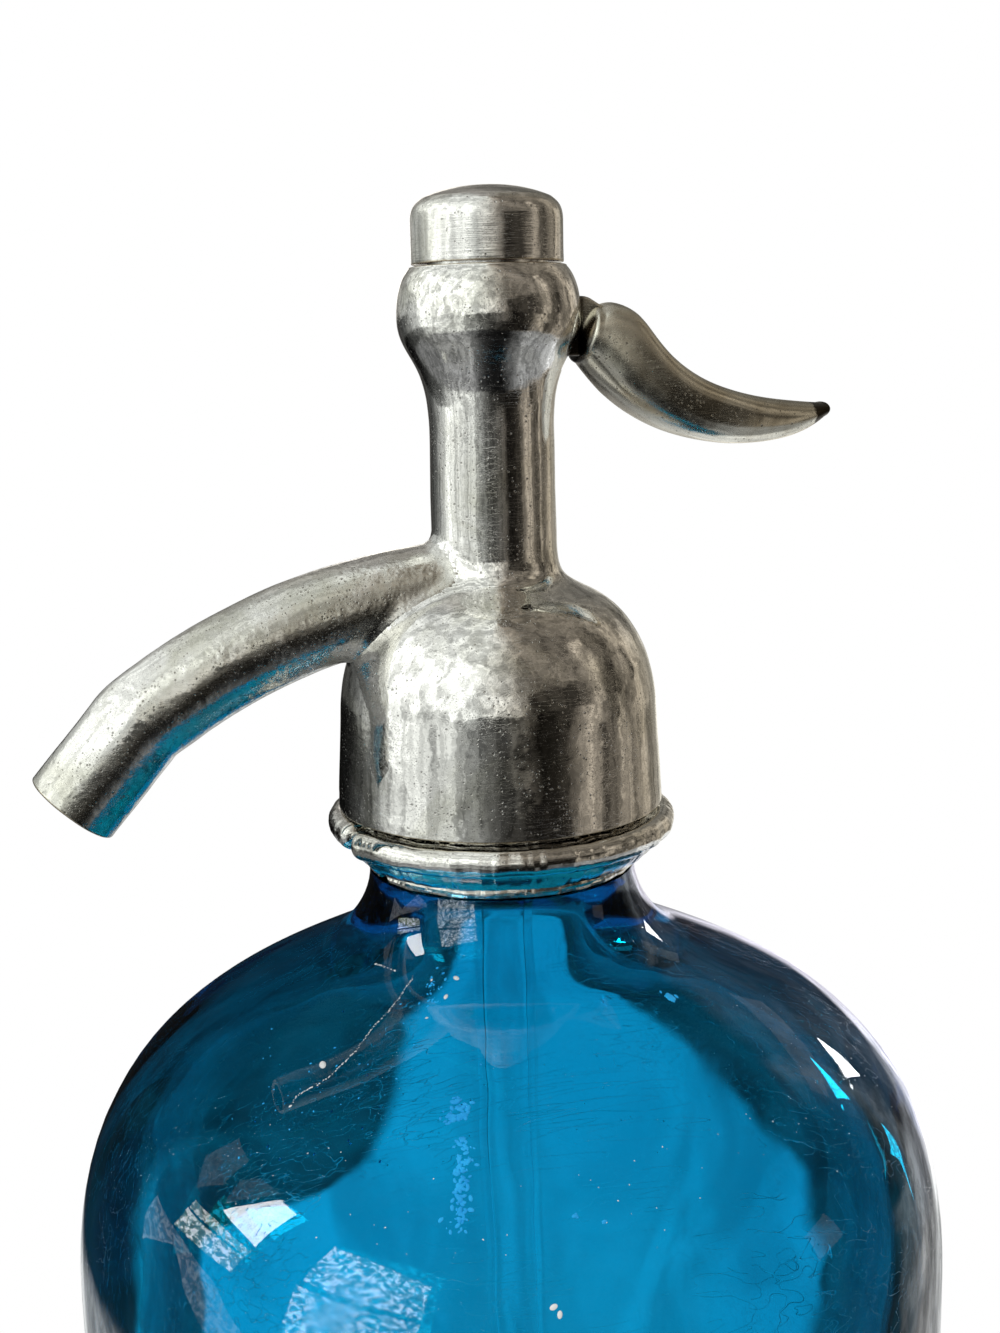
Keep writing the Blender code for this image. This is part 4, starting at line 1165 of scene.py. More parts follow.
    def _dark_tip_and_painted_neck_shade(self, kit: ShaderKit, place: Socket, colour: Socket) -> Socket:
        """Darken a colour past one reach along X, at the tip, and paint shade short of another, on the neck
        where the horn would shadow it.

        Args:
            kit: The material's wiring kit.
            place: Its coordinates.
            colour: The colour so far.

        Returns:
            The new colour.
        """
        level = kit.parts(place)["X"]
        ragged = kit.math("ADD", level, kit.wander(place, 900.0, 2.0 * MM))
        past = kit.ramp(ragged, self.dark_from - self.dark_fade, self.dark_from + self.dark_fade)
        colour = kit.mixed(past, colour, self.dark)
        # Painted shade: short of the second reach the neck goes to the dark colour, standing in for the
        # horn's shadow.
        return kit.mixed(kit.ramp(level, self.neck_shade_to, self.neck_shade_to + self.neck_shade_fade), self.dark, colour)


@dataclass(frozen=True)
class GlassFinish:
    """Glass that takes its colour from its thickness, with fine scratches and a bloom of old water marks."""

    name: str
    clear: Colour = (0.0, 0.85, 0.918)
    density: float = 431.0
    ior: float = 1.5
    haze: float = 0.10
    scratch_share: float = 0.42
    mark_scale: float = 38.0
    scratch_scale: float = 60.0
    scratch_rough: float = 0.25
    scratch_depth: float = 0.01 * MM
    wave_scale: float = 45.0
    wave_depth: float = 0.25 * MM

    def make(self) -> Material:
        """Build the material.

        Returns:
            The material.
        """
        finish, kit, shader, place = start_finish(self.name)
        shader.inputs["Base Color"].default_value = (1.0, 1.0, 1.0, 1.0)
        shader.inputs["Metallic"].default_value = 0.0
        shader.inputs["IOR"].default_value = self.ior
        shader.inputs["Transmission Weight"].default_value = 1.0
        marks = kit.effect(EFFECTS.patches, Vector=place, Scale=self.mark_scale, Level=0.60, Softness=0.10)
        lines = kit.effect(
            EFFECTS.scratches, Vector=place, Scale=self.scratch_scale, Width=0.004, Share=self.scratch_share,
        )
        rough = kit.math("MULTIPLY", marks["Mask"], self.haze)
        lined = kit.math("MULTIPLY", lines["Mask"], self.scratch_rough)
        rough = kit.math("ADD", rough, lined, clamp=True)
        kit.feed(shader.inputs["Roughness"], rough)
        normal = kit.bump(kit.noise(place, self.wave_scale), self.wave_depth)
        normal = kit.bump(kit.math("MULTIPLY", lines["Mask"], -1.0), self.scratch_depth, normal=normal)
        kit.feed(shader.inputs["Normal"], normal)
        depth = kit.node("ShaderNodeVolumeAbsorption")
        depth.inputs["Color"].default_value = (*self.clear, 1.0)
        depth.inputs["Density"].default_value = self.density
        out = next(node for node in finish.node_tree.nodes if node.type == "OUTPUT_MATERIAL")
        finish.node_tree.links.new(depth.outputs[0], out.inputs["Volume"])
        return finish


@dataclass(frozen=True)
class TurnedFinish:
    """Turned or drawn metal that stays inside: lathe rings, light stains and a soft shine."""

    name: str
    metal: Colour
    stain: Colour
    roughness: float = 0.28
    stain_scale: float = 240.0
    ring_scale: float = 4200.0
    ring_depth: float = 0.02 * MM

    def make(self) -> Material:
        """Build the material.

        Returns:
            The material.
        """
        finish, kit, shader, place = start_finish(self.name)
        stain = kit.effect(EFFECTS.patches, Vector=place, Scale=self.stain_scale, Level=0.55, Softness=0.2)
        rings = kit.noise(kit.mapped(place, (0.03, 0.03, 1.0)), self.ring_scale, 2.0, 0.6)
        kit.feed(shader.inputs["Base Color"], kit.mixed(stain["Mask"], self.metal, self.stain))
        rough = kit.math("ADD", self.roughness, kit.math("MULTIPLY", stain["Mask"], 0.2))
        kit.feed(shader.inputs["Roughness"], rough)
        shader.inputs["Metallic"].default_value = 1.0
        kit.feed(shader.inputs["Normal"], kit.bump(rings, self.ring_depth))
        return finish


@dataclass(frozen=True)
class MattFinish:
    """A matt stuff with a dusty bloom: rubber, dry lime or a dried film."""

    name: str
    body: Colour
    bloom: Colour
    bloom_scale: float = 320.0
    grain_scale: float = 2400.0
    grain_depth: float = 0.03 * MM

    def make(self) -> Material:
        """Build the material.

        Returns:
            The material.
        """
        finish, kit, shader, place = start_finish(self.name)
        dust = kit.effect(EFFECTS.patches, Vector=place, Scale=self.bloom_scale, Level=0.55, Softness=0.25)
        kit.feed(shader.inputs["Base Color"], kit.mixed(dust["Mask"], self.body, self.bloom))
        kit.feed(shader.inputs["Roughness"], kit.ramp(dust["Mask"], 0.0, 1.0, 0.55, 0.85))
        grain = kit.noise(place, self.grain_scale, 3.0, 0.6)
        kit.feed(shader.inputs["Normal"], kit.bump(grain, self.grain_depth))
        return finish


@dataclass
class GlassBottle:
    """The thick glass bottle and the glass tube that hangs in it."""

    body_height: float = 171.5 * MM
    heel_height: float = 12 * MM
    foot_radii: tuple[float, float] = (48 * MM, 40 * MM)
    punt_height: float = 3.5 * MM
    shoulder_height: float = 40.2 * MM
    flare_height: float = 10.8 * MM
    flare_radius: float = 24 * MM
    neck_foot_radius: float = 16.9 * MM
    neck_radius: float = 15.4 * MM
    neck_length: float = 13.8 * MM
    lip_radius: float = 17.9 * MM
    lip_height: float = 7.5 * MM
    lip_round: float = 1.6 * MM
    wall: float = 6 * MM
    bore: float = 11 * MM
    base_thickness: float = 7 * MM
    floor_round: float = 16 * MM
    bore_end_drop: float = 5 * MM
    row_spacing: float = 2.4 * MM
    steps: int = 160
    tube_wall: float = 1.2 * MM
    tube_round: float = 0.3 * MM
    tube_spacing: float = 6 * MM
    tube_steps: int = 64
    swell_size: float = 26 * MM
    swell_depth: float = 0.9 * MM
    swell_ends: tuple[float, float] = (14 * MM, 30 * MM)
    swell_fade: float = 20 * MM
    swell_from: float = 20 * MM
    shoulder_pulls: tuple = ((0.473, 0.188), (0.0, 0.693))
    flare_pulls: tuple = ((0.0, 0.41), (0.532, 0.175))
    heel_pulls: tuple = ((0.0, 0.6), (0.6, 0.0))
    punt_pulls: tuple = ((0.15, 0.5), (0.6, 0.0))
    bore_pulls: tuple = ((0.0, 0.55), (0.5, 0.16))
    floor_pulls: tuple = ((0.0, 0.75), (0.7, 0.0))

    def profile(self) -> Run:
        """The bottle's outline.

        Returns:
            The run from the floor up the inside, over the lip and down the outside.
        """
        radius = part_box("glass_bottle")[1].x
        flare_z = self.body_height + self.shoulder_height
        neck_z = flare_z + self.flare_height
        lip_z = neck_z + self.neck_length
        top = lip_z + self.lip_height
        floor_z = self.punt_height + self.base_thickness
        shoulder = bend((self.flare_radius, flare_z), (radius, self.body_height), self.shoulder_pulls, 26)
        flare = bend((self.neck_foot_radius, neck_z), (self.flare_radius, flare_z), self.flare_pulls, 12)
        inner_shoulder = inset(shoulder, self.wall)
        inner_radius = radius - self.wall
        floor = bend((inner_radius, floor_z + self.floor_round), (0.0, floor_z), self.floor_pulls, 16)
        bore_end = (self.bore, neck_z - self.bore_end_drop)
        bore = bend(bore_end, inner_shoulder[0], self.bore_pulls, 10)
        lip = eased([
            bore_end, (self.bore, top, self.lip_round / 2), (self.lip_radius, top, self.lip_round),
            (self.lip_radius, lip_z, self.lip_round), (self.neck_radius, lip_z), (self.neck_radius, neck_z),
        ])
        heel = bend((radius, self.heel_height), (self.foot_radii[0], 0.0), self.heel_pulls, 12)
        punt = bend((self.foot_radii[1], 0.0), (0.0, self.punt_height), self.punt_pulls, 12)
        inside = densified(list(reversed(chain(bore, inner_shoulder, floor))), self.row_spacing)
        outside = densified(chain(lip, flare, shoulder, heel, punt), self.row_spacing)
        return chain(inside, outside)

    def build(self, glass: Material, tube_glass: Material) -> None:
        """Build and dress the bottle and the dip tube.

        Args:
            glass: The bottle's finish.
            tube_glass: The tube's finish.
        """
        rings = turned_stations(self.profile())
        mesh = edit_mesh(LOFT.build("glass_bottle_shell", rings, glass, self.steps))
        self._swell(mesh)
        stand("glass_bottle_shell", mesh, glass, Slot.BLUE_GLASS, Body.SIPHON, "glass_bottle")
        low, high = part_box("dip_tube")
        outer, inner = high.x, high.x - self.tube_wall
        corners = ((outer, high.z), (outer, low.z), (inner, low.z), (inner, high.z))
        tube = eased([(*corner, self.tube_round) for corner in corners], 3)
        tube = densified([*tube, tube[0]], self.tube_spacing)
        mesh = edit_mesh(LOFT.build("dip_tube_glass", turned_stations(tube), tube_glass, self.tube_steps))
        stand("dip_tube_glass", mesh, tube_glass, Slot.CLEAR_GLASS, Body.SIPHON, "dip_tube")

    def _swell(self, mesh: Mesh) -> None:
        """Give the inner wall the slow waves of blown glass, and leave the foot and the mouth alone.

        Args:
            mesh: The bottle.
        """
        co = points_of(mesh)
        radius = np.hypot(co[:, 0], co[:, 1])
        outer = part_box("glass_bottle")[1].x
        foot, top = self.swell_ends
        low_enough = np.clip((self.body_height + top - co[:, 2]) / self.swell_fade, 0, 1)
        high_enough = np.clip((co[:, 2] - foot) / self.swell_fade, 0, 1)
        inside = (radius < outer - self.wall * 0.6) & (radius > self.swell_from)
        ripple(mesh, self.swell_size, self.swell_depth, 4.0, inside * low_enough * high_enough)


@dataclass
class GlassMarks:
    """What years have left on the glass: a long scratch, specks of lime and flakes of a bluish film.

    Its sizes and places are in millimetres. A flake cluster is its start, its end, how far it spreads,
    the number of its flakes and their size.
    """

    scratch: tuple = (
        (-14.9, -14.8, 213.8), (-16.2, -15.6, 212.6), (-17.6, -16.9, 211.5), (-20.7, -18.9, 209.8),
        (-23.3, -21.3, 208.0), (-26.8, -23.1, 206.1), (-30.3, -23.2, 204.6), (-30.9, -23.8, 204.1),
    )
    short_scratch: tuple = ((-18.5, -9.7, 214.0), (-17.4, -11.4, 214.0), (-16.4, -13.0, 213.9))
    specks: tuple = (
        ((-26.9, -20.8, 206.9), 0.62), ((-8.5, -51.3, 191.4), 0.45), ((-8.0, -51.9, 190.8), 0.42),
        ((-10.3, -17.8, 214.2), 0.40), ((-11.9, -19.1, 212.6), 0.36), ((-31.2, -24.1, 204.0), 0.22),
        ((-14.6, -20.8, 211.0), 0.20), ((-13.0, -16.5, 213.8), 0.18),
    )
    flakes: tuple = (
        ((-13.4, -19.3, 212.0), (-13.0, -16.5, 213.8), 0.8, 34, 0.20),
        ((-13.3, -33.2, 205.9), (-14.9, -34.6, 204.9), 0.7, 40, 0.46),
        ((-14.1, -37.2, 203.6), (-16.7, -44.4, 197.4), 0.55, 120, 0.34),
        ((14.2, -22.2, 210.6), (14.8, -22.3, 210.4), 0.4, 14, 0.50),
        ((-4.6, -46.4, 198.2), (-4.5, -46.5, 198.1), 0.1, 3, 0.34),
        ((-1.8, -47.2, 197.5), (-1.8, -47.3, 197.4), 0.1, 3, 0.32),
        ((-38.0, -24.0, 200.0), (-20.0, -22.0, 209.0), 5.0, 70, 0.16),
    )
    stray_count: int = 160
    stray_size: float = 0.11
    stray_turn: float = 1.2
    stray_reach: tuple[float, float] = (26.0, 52.0)
    stray_height: float = 212.0
    stray_drop: float = 0.3
    grain_shape: tuple = (1.0, 0.66, 0.3)
    spacing: float = 0.2
    jitter: float = 0.07
    scratch_size: float = 0.095
    scratch_range: tuple[float, float] = (0.35, 1.5)
    stray_range: tuple[float, float] = (0.3, 1.0)
    flake_range: tuple[float, float] = (0.3, 1.2)
    seed: int = 11

    def build(self, lime: Material, film: Material) -> None:
        """Scatter the marks over the bottle's outside.

        Args:
            lime: Finish of the scratch and the specks.
            film: Finish of the flakes.
        """
        chance = np.random.default_rng(self.seed)
        dry = self._dry_marks(chance)
        thin = self._film_marks(chance)
        for name, marks, finish in (("lime_specks", dry, lime), ("film_flakes", thin, film)):
            self._lay(name, marks, finish)

    def _dry_marks(self, chance: np.random.Generator) -> list[tuple[Vector, float]]:
        """Draw the places and sizes of the scratches' grains and of the specks.

        Args:
            chance: The random numbers.

        Returns:
            Each mark's place and size.
        """
        marks = []
        for run in (self.scratch, self.short_scratch):
            for first, second in zip(run, run[1:]):
                count = max(2, round(math.dist(first, second) / self.spacing))
                for step in range(count):
                    place = Vector(first).lerp(Vector(second), step / count)
                    place += Vector(chance.normal(0.0, self.jitter, 3))
                    marks.append((place, self.scratch_size * chance.uniform(*self.scratch_range)))
        marks += [(Vector(place), size) for place, size in self.specks]
        for _ in range(self.stray_count):
            angle = chance.uniform(-self.stray_turn, self.stray_turn)
            reach = chance.uniform(*self.stray_reach)
            height = self.stray_height - reach * self.stray_drop
            place = Vector((reach * math.sin(angle), -reach * math.cos(angle), height))
            marks.append((place, self.stray_size * chance.uniform(*self.stray_range)))
        return marks

    def _film_marks(self, chance: np.random.Generator) -> list[tuple[Vector, float]]:
        """Draw the places and sizes of the flakes.

        Args:
            chance: The random numbers.

        Returns:
            Each mark's place and size.
        """
        marks = []
        for start, end, spread, count, size in self.flakes:
            for _ in range(count):
                place = Vector(start).lerp(Vector(end), chance.random())
                place += Vector(chance.normal(0.0, spread, 3))
                marks.append((place, size * chance.uniform(*self.flake_range)))
        return marks

    def _lay(self, name: str, marks: list[tuple[Vector, float]], finish: Material) -> None:
        """Lay marks on the nearest glass and stand them as one piece.

        Args:
            name: The piece's name.
            marks: Each mark's place and size.
            finish: The finish.
        """
        bottle = bpy.data.objects["glass_bottle_shell"]
        carried: dict[str, list] = {"facing": [], "size": []}
        places = []
        for place, size in marks:
            _, spot, facing, _ = bottle.closest_point_on_mesh(place * MM)
            places.append(spot)
            carried["facing"].append(facing)
            carried["size"].append(Vector(self.grain_shape) * size * MM)
        mesh = GRAINS.grow(name, places, carried, {"Seed": self.seed, "Finish": finish})
        stand(name, mesh, finish, Slot.BLUE_GLASS, Body.SIPHON)


@dataclass
class SplitCollar:
    """The two halves of the collar that grips the glass under its lip, with a rolled bead."""

    cone_height: float = 4.15 * MM
    foot_wall: float = 0.9 * MM
    bead_radius: float = 1.75 * MM
    bulge_radius: float = 20.25 * MM
    sleeve_radius: float = 18.3 * MM
    grip_radius: float = 15.7 * MM
    split_angle: float = math.radians(17)
    split_gap: float = 0.9 * MM
    foot_lip: float = 0.35 * MM
    steps: int = 180
    end_round: float = 1.25 * MM
    burr: float = 0.16 * MM
    fray_height: float = 1.2 * MM
    sleeve_room: float = 0.1 * MM
    spacing: float = 0.6 * MM
    swell_size: float = 2.2 * MM
    offsets: tuple = ((0.0, -0.45 * MM), (-0.1 * MM, 0.0))

    def section(self) -> Run:
        """The collar's cross section, from the sleeve's top down its outer side and back up the bore.

        Returns:
            The closed run.
        """
        low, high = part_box("collar_half_front")
        bead_z = low.z + self.cone_height + self.bead_radius
        bead = []
        for step in range(15):
            angle = math.pi * step / 14
            reach = self.bulge_radius + self.bead_radius * math.sin(angle)
            bead.append((reach, bead_z + self.bead_radius * math.cos(angle)))
        foot = self.grip_radius + self.foot_wall
        lip = self.foot_lip
        cone = bend(bead[-1], (foot + lip * 0.7, low.z + lip * 2), ((0.25, 0.5), (0.4, 0.3)), 10)
        cone = chain(cone, [(foot + lip * 1.2, low.z + lip * 1.2), (foot + lip, low.z + lip * 0.3)])
        run = chain(
            [(self.grip_radius, high.z), (self.sleeve_radius, high.z), (self.sleeve_radius, bead[0][1])],
            bead, cone, [(foot, low.z), (self.grip_radius, low.z), (self.grip_radius, high.z)],
        )
        return densified(run, self.spacing)

    def build(self, plating: Material) -> None:
        """Build and dress both halves.

        Args:
            plating: The finish.
        """
        section = self.section()
        gap = self.split_gap / self.bulge_radius / 2
        for name, turn, seed, (out, up) in zip(("front", "back"), (math.pi, 0.0), (1.0, 5.0), self.offsets):
            start = self.split_angle + turn + gap
            sweep = math.pi - 2 * gap
            clear = self.sleeve_radius + self.sleeve_room
            moved = [(r + out, z + up) if r > clear else (r, z) for r, z in section]
            rings = turned_stations(moved)
            mesh = LOFT.build("collar_" + name, rings, plating, self.steps, start=start, sweep=sweep)
            self._shape_ends(mesh, section, start, sweep, seed)
            ripple(edit_mesh(mesh), self.swell_size, self.burr * 0.6, seed)
            piece = "collar_" + name + "_bead"
            stand(piece, mesh, plating, Slot.PLATING, Body.SIPHON, "collar_half_" + name)

    def _shape_ends(self, mesh: Mesh, section: Run, start: float, sweep: float, seed: float) -> None:
        """Round off each end and fray the foot edge.

        Args:
            mesh: The half.
            section: Its cross section.
            start: The angle where it starts.
            sweep: How far it turns.
            seed: Place in the noise.
        """
        co = points_of(mesh)
        radius = np.hypot(co[:, 0], co[:, 1])
        angle = (np.arctan2(co[:, 1], co[:, 0]) - start + 0.01) % math.tau - 0.01
        from_end = np.minimum(angle, sweep - angle) * self.bulge_radius
        inward = np.clip(1 - from_end / self.end_round, 0, 1)
        keep = np.sqrt(np.clip(1 - inward ** 2 * 0.97, 0, 1))
        middle_r = sum(r for r, _ in section) / len(section)
        middle_z = sum(z for _, z in section) / len(section)
        outer = radius > self.sleeve_radius + self.sleeve_room
        middle_r = np.where(outer, self.bulge_radius - 0.3 * MM, middle_r)
        new_radius = middle_r + (radius - middle_r) * keep
        new_z = middle_z + (co[:, 2] - middle_z) * keep
        foot = np.clip(1 - (co[:, 2] - section[-2][1]) / self.fray_height, 0, 1)
        fray = np.array([
            noise.noise(Vector((turn * 9, seed, 0))) + 0.6 * noise.noise(Vector((turn * 31, seed, 3)))
            for turn in angle
        ])
        new_radius = new_radius + foot * fray * self.burr * (radius > self.grip_radius + 0.2 * MM)
        share = new_radius / radius
        co[:, 0] *= share
        co[:, 1] *= share
        co[:, 2] = new_z
        move_points(mesh, co)


@dataclass
class HeadCasting:
    """The plated head: skirt, dome, column and bulb, with the lever's slot and the pin's hole."""

    skirt_edge_radius: float = 20.5 * MM
    skirt_top_radius: float = 19.8 * MM
    skirt_bore: float = 18.6 * MM
    dome_height: float = 14 * MM
    dome_top_radius: float = 11.4 * MM
    fillet_height: float = 6.8 * MM
    column_foot_radius: float = 7.75 * MM
    column_radius: float = 7.62 * MM
    column_length: float = 13.2 * MM
    bulb_lower_height: float = 13.3 * MM
    bulb_radius: float = 11.18 * MM
    bulb_upper_height: float = 5.8 * MM
    bulb_top_radius: float = 9.5 * MM
    column_bore: float = 5 * MM
    seat_bore: float = 6.9 * MM
    gasket_rise: float = 2.9 * MM
    waterway: float = 1.8 * MM
    waterway_length: float = 3.5 * MM
    packing_room: float = 0.3 * MM
    chamber_drop: float = 5.3 * MM
    inner_spacing: float = 4 * MM
    chamber_radius: float = 7.6 * MM
    recess_radius: float = 8.7 * MM
    recess_depth: float = 0.9 * MM
    edge_round: float = 0.15 * MM
    steps: int = 160
    spacing: float = 0.7 * MM
    skin_from: float = 7.3 * MM
    skin_fade: float = 0.3 * MM
    foot_room: float = 1.5 * MM
    top_room: float = 1.0 * MM
    swells: tuple = ((7 * MM, 0.07 * MM, 2.0), (2.4 * MM, 0.02 * MM, 7.0))
    fault_place: tuple[float, float] = (2.3 * MM, -10.2 * MM)
    fault_drop: float = 1.9 * MM
    fault_size: Point = (1.5 * MM, 1.2 * MM, 0.45 * MM)
    fault_lift: float = 0.16 * MM
    slot_inner: float = 4 * MM
    slot_half_width: float = 3.7 * MM
    slot_up: float = 4.4 * MM
    slot_down: float = 5 * MM
    pin_hole: float = 1.15 * MM
    dome_pulls: tuple = ((0.842, 0.227), (0.02, 0.24))
    fillet_pulls: tuple = ((0.0, 0.69), (0.9, 0.25))
    bulb_lower_pulls: tuple = ((0.0, 0.373), (0.0, 0.655))
    bulb_upper_pulls: tuple = ((0.1, 0.03), (0.0, 0.69))

    def outline(self) -> Run:
        """The closed outline: outside from the bulb's top down to the skirt, then up the bores.

        Returns:
            The run.
        """
        low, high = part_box("head_body")
        edge_z, top_z = low.z, high.z
        middle_z = top_z - self.bulb_upper_height
        column_top = middle_z - self.bulb_lower_height
        column_foot = column_top - self.column_length
        dome_top = column_foot - self.fillet_height
        dome_foot = dome_top - self.dome_height
        packing_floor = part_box("stem_packing")[0].z - self.packing_room
        waterway_foot = packing_floor - self.waterway_length
        gasket_top = dome_foot + self.gasket_rise
        bulb_floor = middle_z - self.chamber_drop
        bulb_rim = (self.bulb_top_radius + 0.05 * MM, top_z - 1.2 * self.edge_round)
        bulb = chain(
            eased([(self.recess_radius, top_z), (self.bulb_top_radius, top_z, self.edge_round), bulb_rim]),
            bend(bulb_rim, (self.bulb_radius, middle_z), self.bulb_upper_pulls, 12),
            bend((self.bulb_radius, middle_z), (self.column_radius, column_top), self.bulb_lower_pulls, 24),
        )
        dome_edge = (self.dome_top_radius, dome_top)
        dome = chain(
            bend((self.column_foot_radius, column_foot), dome_edge, self.fillet_pulls, 12),
            bend(dome_edge, (self.skirt_top_radius, dome_foot), self.dome_pulls, 26),
        )
        skirt = eased([
            (self.skirt_top_radius, dome_foot), (self.skirt_edge_radius, edge_z, self.edge_round),
            (self.skirt_bore, edge_z, self.edge_round), (self.skirt_bore, gasket_top),
        ])[1:]
        inside = [
            (self.seat_bore, gasket_top), (self.seat_bore, waterway_foot), (self.waterway, waterway_foot),
            (self.waterway, packing_floor), (self.column_bore, packing_floor), (self.column_bore, bulb_floor),
            (self.chamber_radius, bulb_floor), (self.chamber_radius, top_z - self.recess_depth),
            (self.recess_radius, top_z - self.recess_depth), (self.recess_radius, top_z),
        ]
        return chain(densified(chain(bulb, dome, skirt), self.spacing), densified(inside, self.inner_spacing))

    def build(self, plating: Material) -> None:
        """Build and dress the casting.

        Args:
            plating: The finish.
        """
        mesh = edit_mesh(LOFT.build("head_casting", turned_stations(self.outline()), plating, self.steps))
        low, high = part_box("head_body")
        co = points_of(mesh)
        radius, height = np.hypot(co[:, 0], co[:, 1]), co[:, 2]
        skin = np.clip((radius - self.skin_from) / self.skin_fade, 0, 1)
        skin = skin * (height > low.z + self.foot_room) * (height < high.z - self.top_room)
        skin = skin * (np.abs(radius - self.skirt_bore) > self.skin_fade)
        for size, depth, seed in self.swells:
            ripple(mesh, size, depth, seed, skin)
        self._raise_bump(mesh)
        self._raise_joint(mesh)
        pin_low, pin_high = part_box("lever_pin")
        pin_x, pin_z = (pin_low.x + pin_high.x) / 2, (pin_low.z + pin_high.z) / 2
        slot = box_mesh(
            (self.slot_inner, -self.slot_half_width, pin_z - self.slot_down),
            (self.bulb_radius + 2 * MM, self.slot_half_width, pin_z + self.slot_up),
        )
        mesh = combined(mesh, slot, "DIFFERENCE")
        start = Vector((pin_x, pin_low.y - 0.3 * MM, pin_z))
        rod = rod_stations(start, Vector((pin_x, self.bulb_radius, pin_z)), self.pin_hole, 0.05 * MM)
        hole = edit_mesh(LOFT.build("pin_hole", rod, plating, 32))
        mesh = combined(mesh, hole, "DIFFERENCE")
        stand("head_casting", mesh, plating, Slot.PLATING, Body.SIPHON, "head_body")

    def _raise_joint(self, mesh: Mesh) -> None:
        """Raise the skin to meet the spout in a soldered fillet.

        Args:
            mesh: The casting.
        """
        spout = Spout()
        axis = np.array(spout.route()[0])
        co = points_of(mesh)
        gap = np.sqrt(((co[:, None, :] - axis[None, ::3, :]) ** 2).sum(2)).min(1) - spout.radius
        lift = np.clip(1 - np.abs(gap) / spout.fillet, 0, 1) ** 2 * spout.fillet * 0.4
        lift = lift * (np.hypot(co[:, 0], co[:, 1]) > 7.2 * MM) * (co[:, 0] < 0)
        move_points(mesh, co + normals_of(mesh) * lift[:, None])

    def _raise_bump(self, mesh: Mesh) -> None:
        """Raise the small casting fault high on the front of the bulb.

        Args:
            mesh: The casting.
        """
        co = points_of(mesh)
        centre = np.array((*self.fault_place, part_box("head_body")[1].z - self.fault_drop))
        offset = (co - centre) / np.array(self.fault_size)
        lift = np.exp(-(offset ** 2).sum(1)) * self.fault_lift
        move_points(mesh, co + normals_of(mesh) * lift[:, None])


